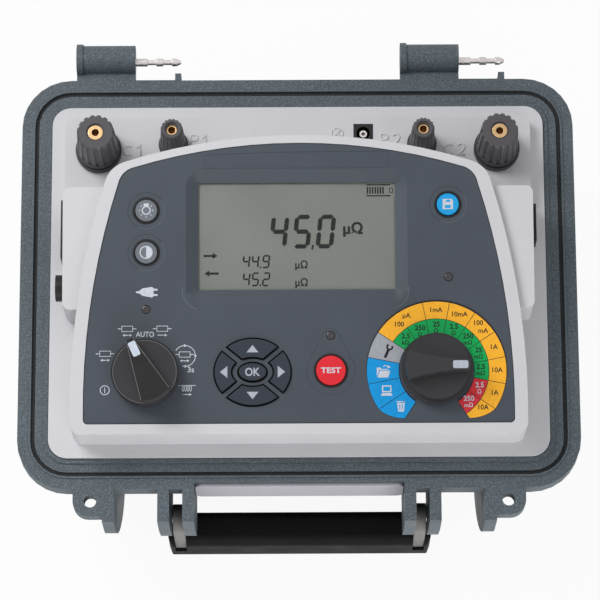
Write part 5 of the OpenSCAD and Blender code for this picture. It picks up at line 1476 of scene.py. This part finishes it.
@dataclass
class Knobs:
    """The two turning knobs and their pointer marks."""

    face: Face
    function: Point = (-84.8, 27.7)
    function_turn: float = 115.0
    function_reach: float = 18.6
    ranges: Point = (76.3, 29.4)
    edge: float = 0.6
    # width of the painted highlight lines on the function knob, mm
    rub: float = 0.32
    # width of the black ring of painted shade round the function knob's skirt, mm
    ring: float = 1.1
    mark: float = 0.3
    mark_size: Point = (8.4, 4.3)
    # The bar's upper corners from the knob's middle, mm, and its round end's radius and angles
    bar_nose: tuple[Point, Point] = ((-6.3, 17.6), (-9.8, 16.1))
    bar_reach: float = 17.2
    bar_tail: Point = (-95.0, -36.0)
    # thickness of the black prints that paint shade on the function knob, mm
    painted_shade_thick: float = 0.03

    def build(self) -> None:
        """Makes the knobs and their marks."""
        x, s = self.function
        skirt_top = self.face.height_at("function_knob", x + self.function_reach * 0.8, s)
        for node in ("function_knob", "range_knob"):
            refined(node, Stuff.KNOB, self.edge)
        top = self.face.top_of("function_knob")
        with drawing(self.face, "function_mark", Stuff.MARK_LIGHT, top + 0.06, self.mark, "function_knob") as art:
            art.patch(moved(rounded(12.6, 0, *self.mark_size, 0.9), x, s, self.function_turn))
        self.bar(top)
        self.skirt(skirt_top)
        top = self.face.top_of("range_knob")
        with drawing(self.face, "range_mark", Stuff.MARK_GREY, top, self.mark, "range_knob") as art:
            art.patch(moved(rounded(12.3, 0, *self.mark_size, 1.0), *self.ranges))

    def bar(self, top: float) -> None:
        """Paints shade on the top of the function knob's bar in black and paints highlights along its long edges.

        Args:
            top: Height of the bar over the face, mm.
        """
        outline = moved([*self.bar_nose, *circle(0.0, 0.0, self.bar_reach, *self.bar_tail, 12)], *self.function)
        # painted shade: the bar's top printed black
        with drawing(self.face, "function_bar", Stuff.BLACK, top, self.painted_shade_thick, "function_knob") as art:
            art.patch(outline)
        # painted highlight along the bar's two long edges
        with drawing(self.face, "function_bar_edges", Stuff.EDGE, top + 0.02, body="function_knob") as art:
            art.stroke(outline[1:3], self.rub)
            art.stroke([outline[0], outline[-1]], self.rub)

    def skirt(self, level: float) -> None:
        """Draws painted shade as a black ring round the function knob's skirt and a painted highlight inside it.

        Args:
            level: Height of the skirt's top over the face, mm.
        """
        x, s = self.function
        reach = self.function_reach
        # painted shade: a black ring round the skirt's outer edge
        with drawing(self.face, "function_ring", Stuff.BLACK, level, self.painted_shade_thick, "function_knob") as art:
            art.stroke(circle(x, s, reach - self.ring / 2, steps=72), self.ring, True)
        # painted highlight along the skirt's lit edge, inside the ring of painted shade
        with drawing(self.face, "function_ring_edge", Stuff.EDGE, level, body="function_knob") as art:
            art.stroke(circle(x, s, reach - self.ring, steps=72), self.rub, True)


@dataclass
class Studio:
    """The floor, the soft light and the camera at the photograph's angle."""

    target: Vector = field(default_factory=lambda: Vector((0.0009, -0.0113, 0.118)))
    distance: float = 1.92
    elevation: float = 74.6
    lens: float = 204.0
    sensor: float = 36.0
    roll: float = -0.28
    floor_span: float = 4.0
    floor_tone: Colour = tone(236, 236, 236)
    floor_glow: float = 0.93
    key_place: Vector = field(default_factory=lambda: Vector((-0.62, 0.42, 0.95)))
    key_span: float = 0.55
    key_power: float = 7.5
    fill_place: Vector = field(default_factory=lambda: Vector((0.25, -1.1, 0.45)))
    fill_span: float = 0.9
    fill_power: float = 7.0
    world_level: float = 0.46
    backdrop_level: float = 1.0

    def build(self) -> None:
        """Sets the stage."""
        self.floor()
        self.world()
        self.lamps()
        self.camera()
        bpy.context.scene.view_settings.view_transform = "Standard"

    def floor(self) -> None:
        """Lays the pale floor, which stays near white and keeps the shadow."""
        bpy.ops.mesh.primitive_plane_add(size=self.floor_span)
        floor = active()
        floor.name = "studio_floor"
        material = bpy.data.materials.new("studio_floor")
        recipe = Recipe(material, "ShaderNodeOutputMaterial")
        paint = recipe.surface(Roughness=0.9, Base_Color=self.floor_tone)
        glow = recipe.node("ShaderNodeEmission", {"Color": FULL_WHITE})
        recipe.blend(recipe.spread(recipe.rays("Camera", "Glossy"), 0.0, 1.0, 0.0, self.floor_glow), paint, glow)
        floor.data.materials.append(material)

    def world(self) -> None:
        """Lights the room evenly and shows white behind the floor."""
        world = bpy.data.worlds.new("studio")
        bpy.context.scene.world = world
        recipe = Recipe(world, "ShaderNodeOutputWorld")
        seen = recipe.rays("Camera", "Glossy", "Transmission")
        level = recipe.spread(seen, 0.0, 1.0, self.world_level, self.backdrop_level)
        recipe.show(recipe.node("ShaderNodeBackground", {"Color": FULL_WHITE, "Strength": level}))

    def lamps(self) -> None:
        """Hangs the soft key lamp at the upper left and the wide fill lamp in front."""
        for name, place, span, power in (("key_lamp", self.key_place, self.key_span, self.key_power),
                                         ("fill_lamp", self.fill_place, self.fill_span, self.fill_power)):
            bpy.ops.object.light_add(type="AREA", location=place)
            lamp = active()
            lamp.name = name
            lamp.data.shape = "SQUARE"
            lamp.data.size = span
            lamp.data.energy = power
            lamp.rotation_euler = (self.target - place).to_track_quat("-Z", "Y").to_euler()

    def camera(self) -> None:
        """Places the camera."""
        angle = math.radians(self.elevation)
        back = Vector((0.0, -math.cos(angle), math.sin(angle)))
        bpy.ops.object.camera_add(location=self.target + back * self.distance)
        camera = active()
        camera.name = "photo_camera"
        camera.data.lens = self.lens
        camera.data.sensor_width = self.sensor
        aim = (-back).to_track_quat("-Z", "Y").to_matrix()
        camera.rotation_euler = (aim @ Matrix.Rotation(math.radians(self.roll), 3, "Z")).to_euler()
        bpy.context.scene.camera = camera


def sloping_face(joints: Sequence[dict]) -> Face:
    """The fascia's face, from the axis of the function knob.

    Args:
        joints: The frame's joints.

    Returns:
        The face, with its origin at the foot of the fascia.
    """
    turn = next(joint for joint in joints if joint["name"] == "function_turn")
    out = Vector(turn["axis"]).normalized()
    up = Vector((0.0, out.z, -out.y))
    place = Vector(turn["pos_m"])
    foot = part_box("fascia")[0].y
    origin = place + up * ((foot - place.y) / up.y)
    origin.x = 0.0
    return Face(origin, Vector((1.0, 0.0, 0.0)), up, out)


def level_face(node: str, x: float, y: float) -> Face:
    """A level face through the surface of a node under one place, mm."""
    base = Face(Vector((0, 0, 0)), Vector((1, 0, 0)), Vector((0, 1, 0)), Vector((0, 0, 1)))
    return Face(Vector((0, 0, base.height_at(node, x, y, 300.0) * MM)), base.right, base.up, base.out)


def main() -> None:
    """Builds the looks over the frame, piece by piece."""
    logging.basicConfig(level=logging.INFO, format="%(name)s: %(message)s")
    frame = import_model()
    face = sloping_face(frame["joints"])
    deck = level_face("panel_moulding", *DECK_SPOT)
    assemblies = (Plain(), Shell(), Panel(deck), Fascia(face), Display(face), Keys(face), Dial(face), Knobs(face),
                  Studio())
    for assembly in assemblies:
        before = set(bpy.data.objects)
        assembly.build()
        for piece in sorted(set(bpy.data.objects) - before, key=lambda made: made.name):
            log.info("%s: %s", type(assembly).__name__, piece.name)


if __name__ == "__main__":
    main()
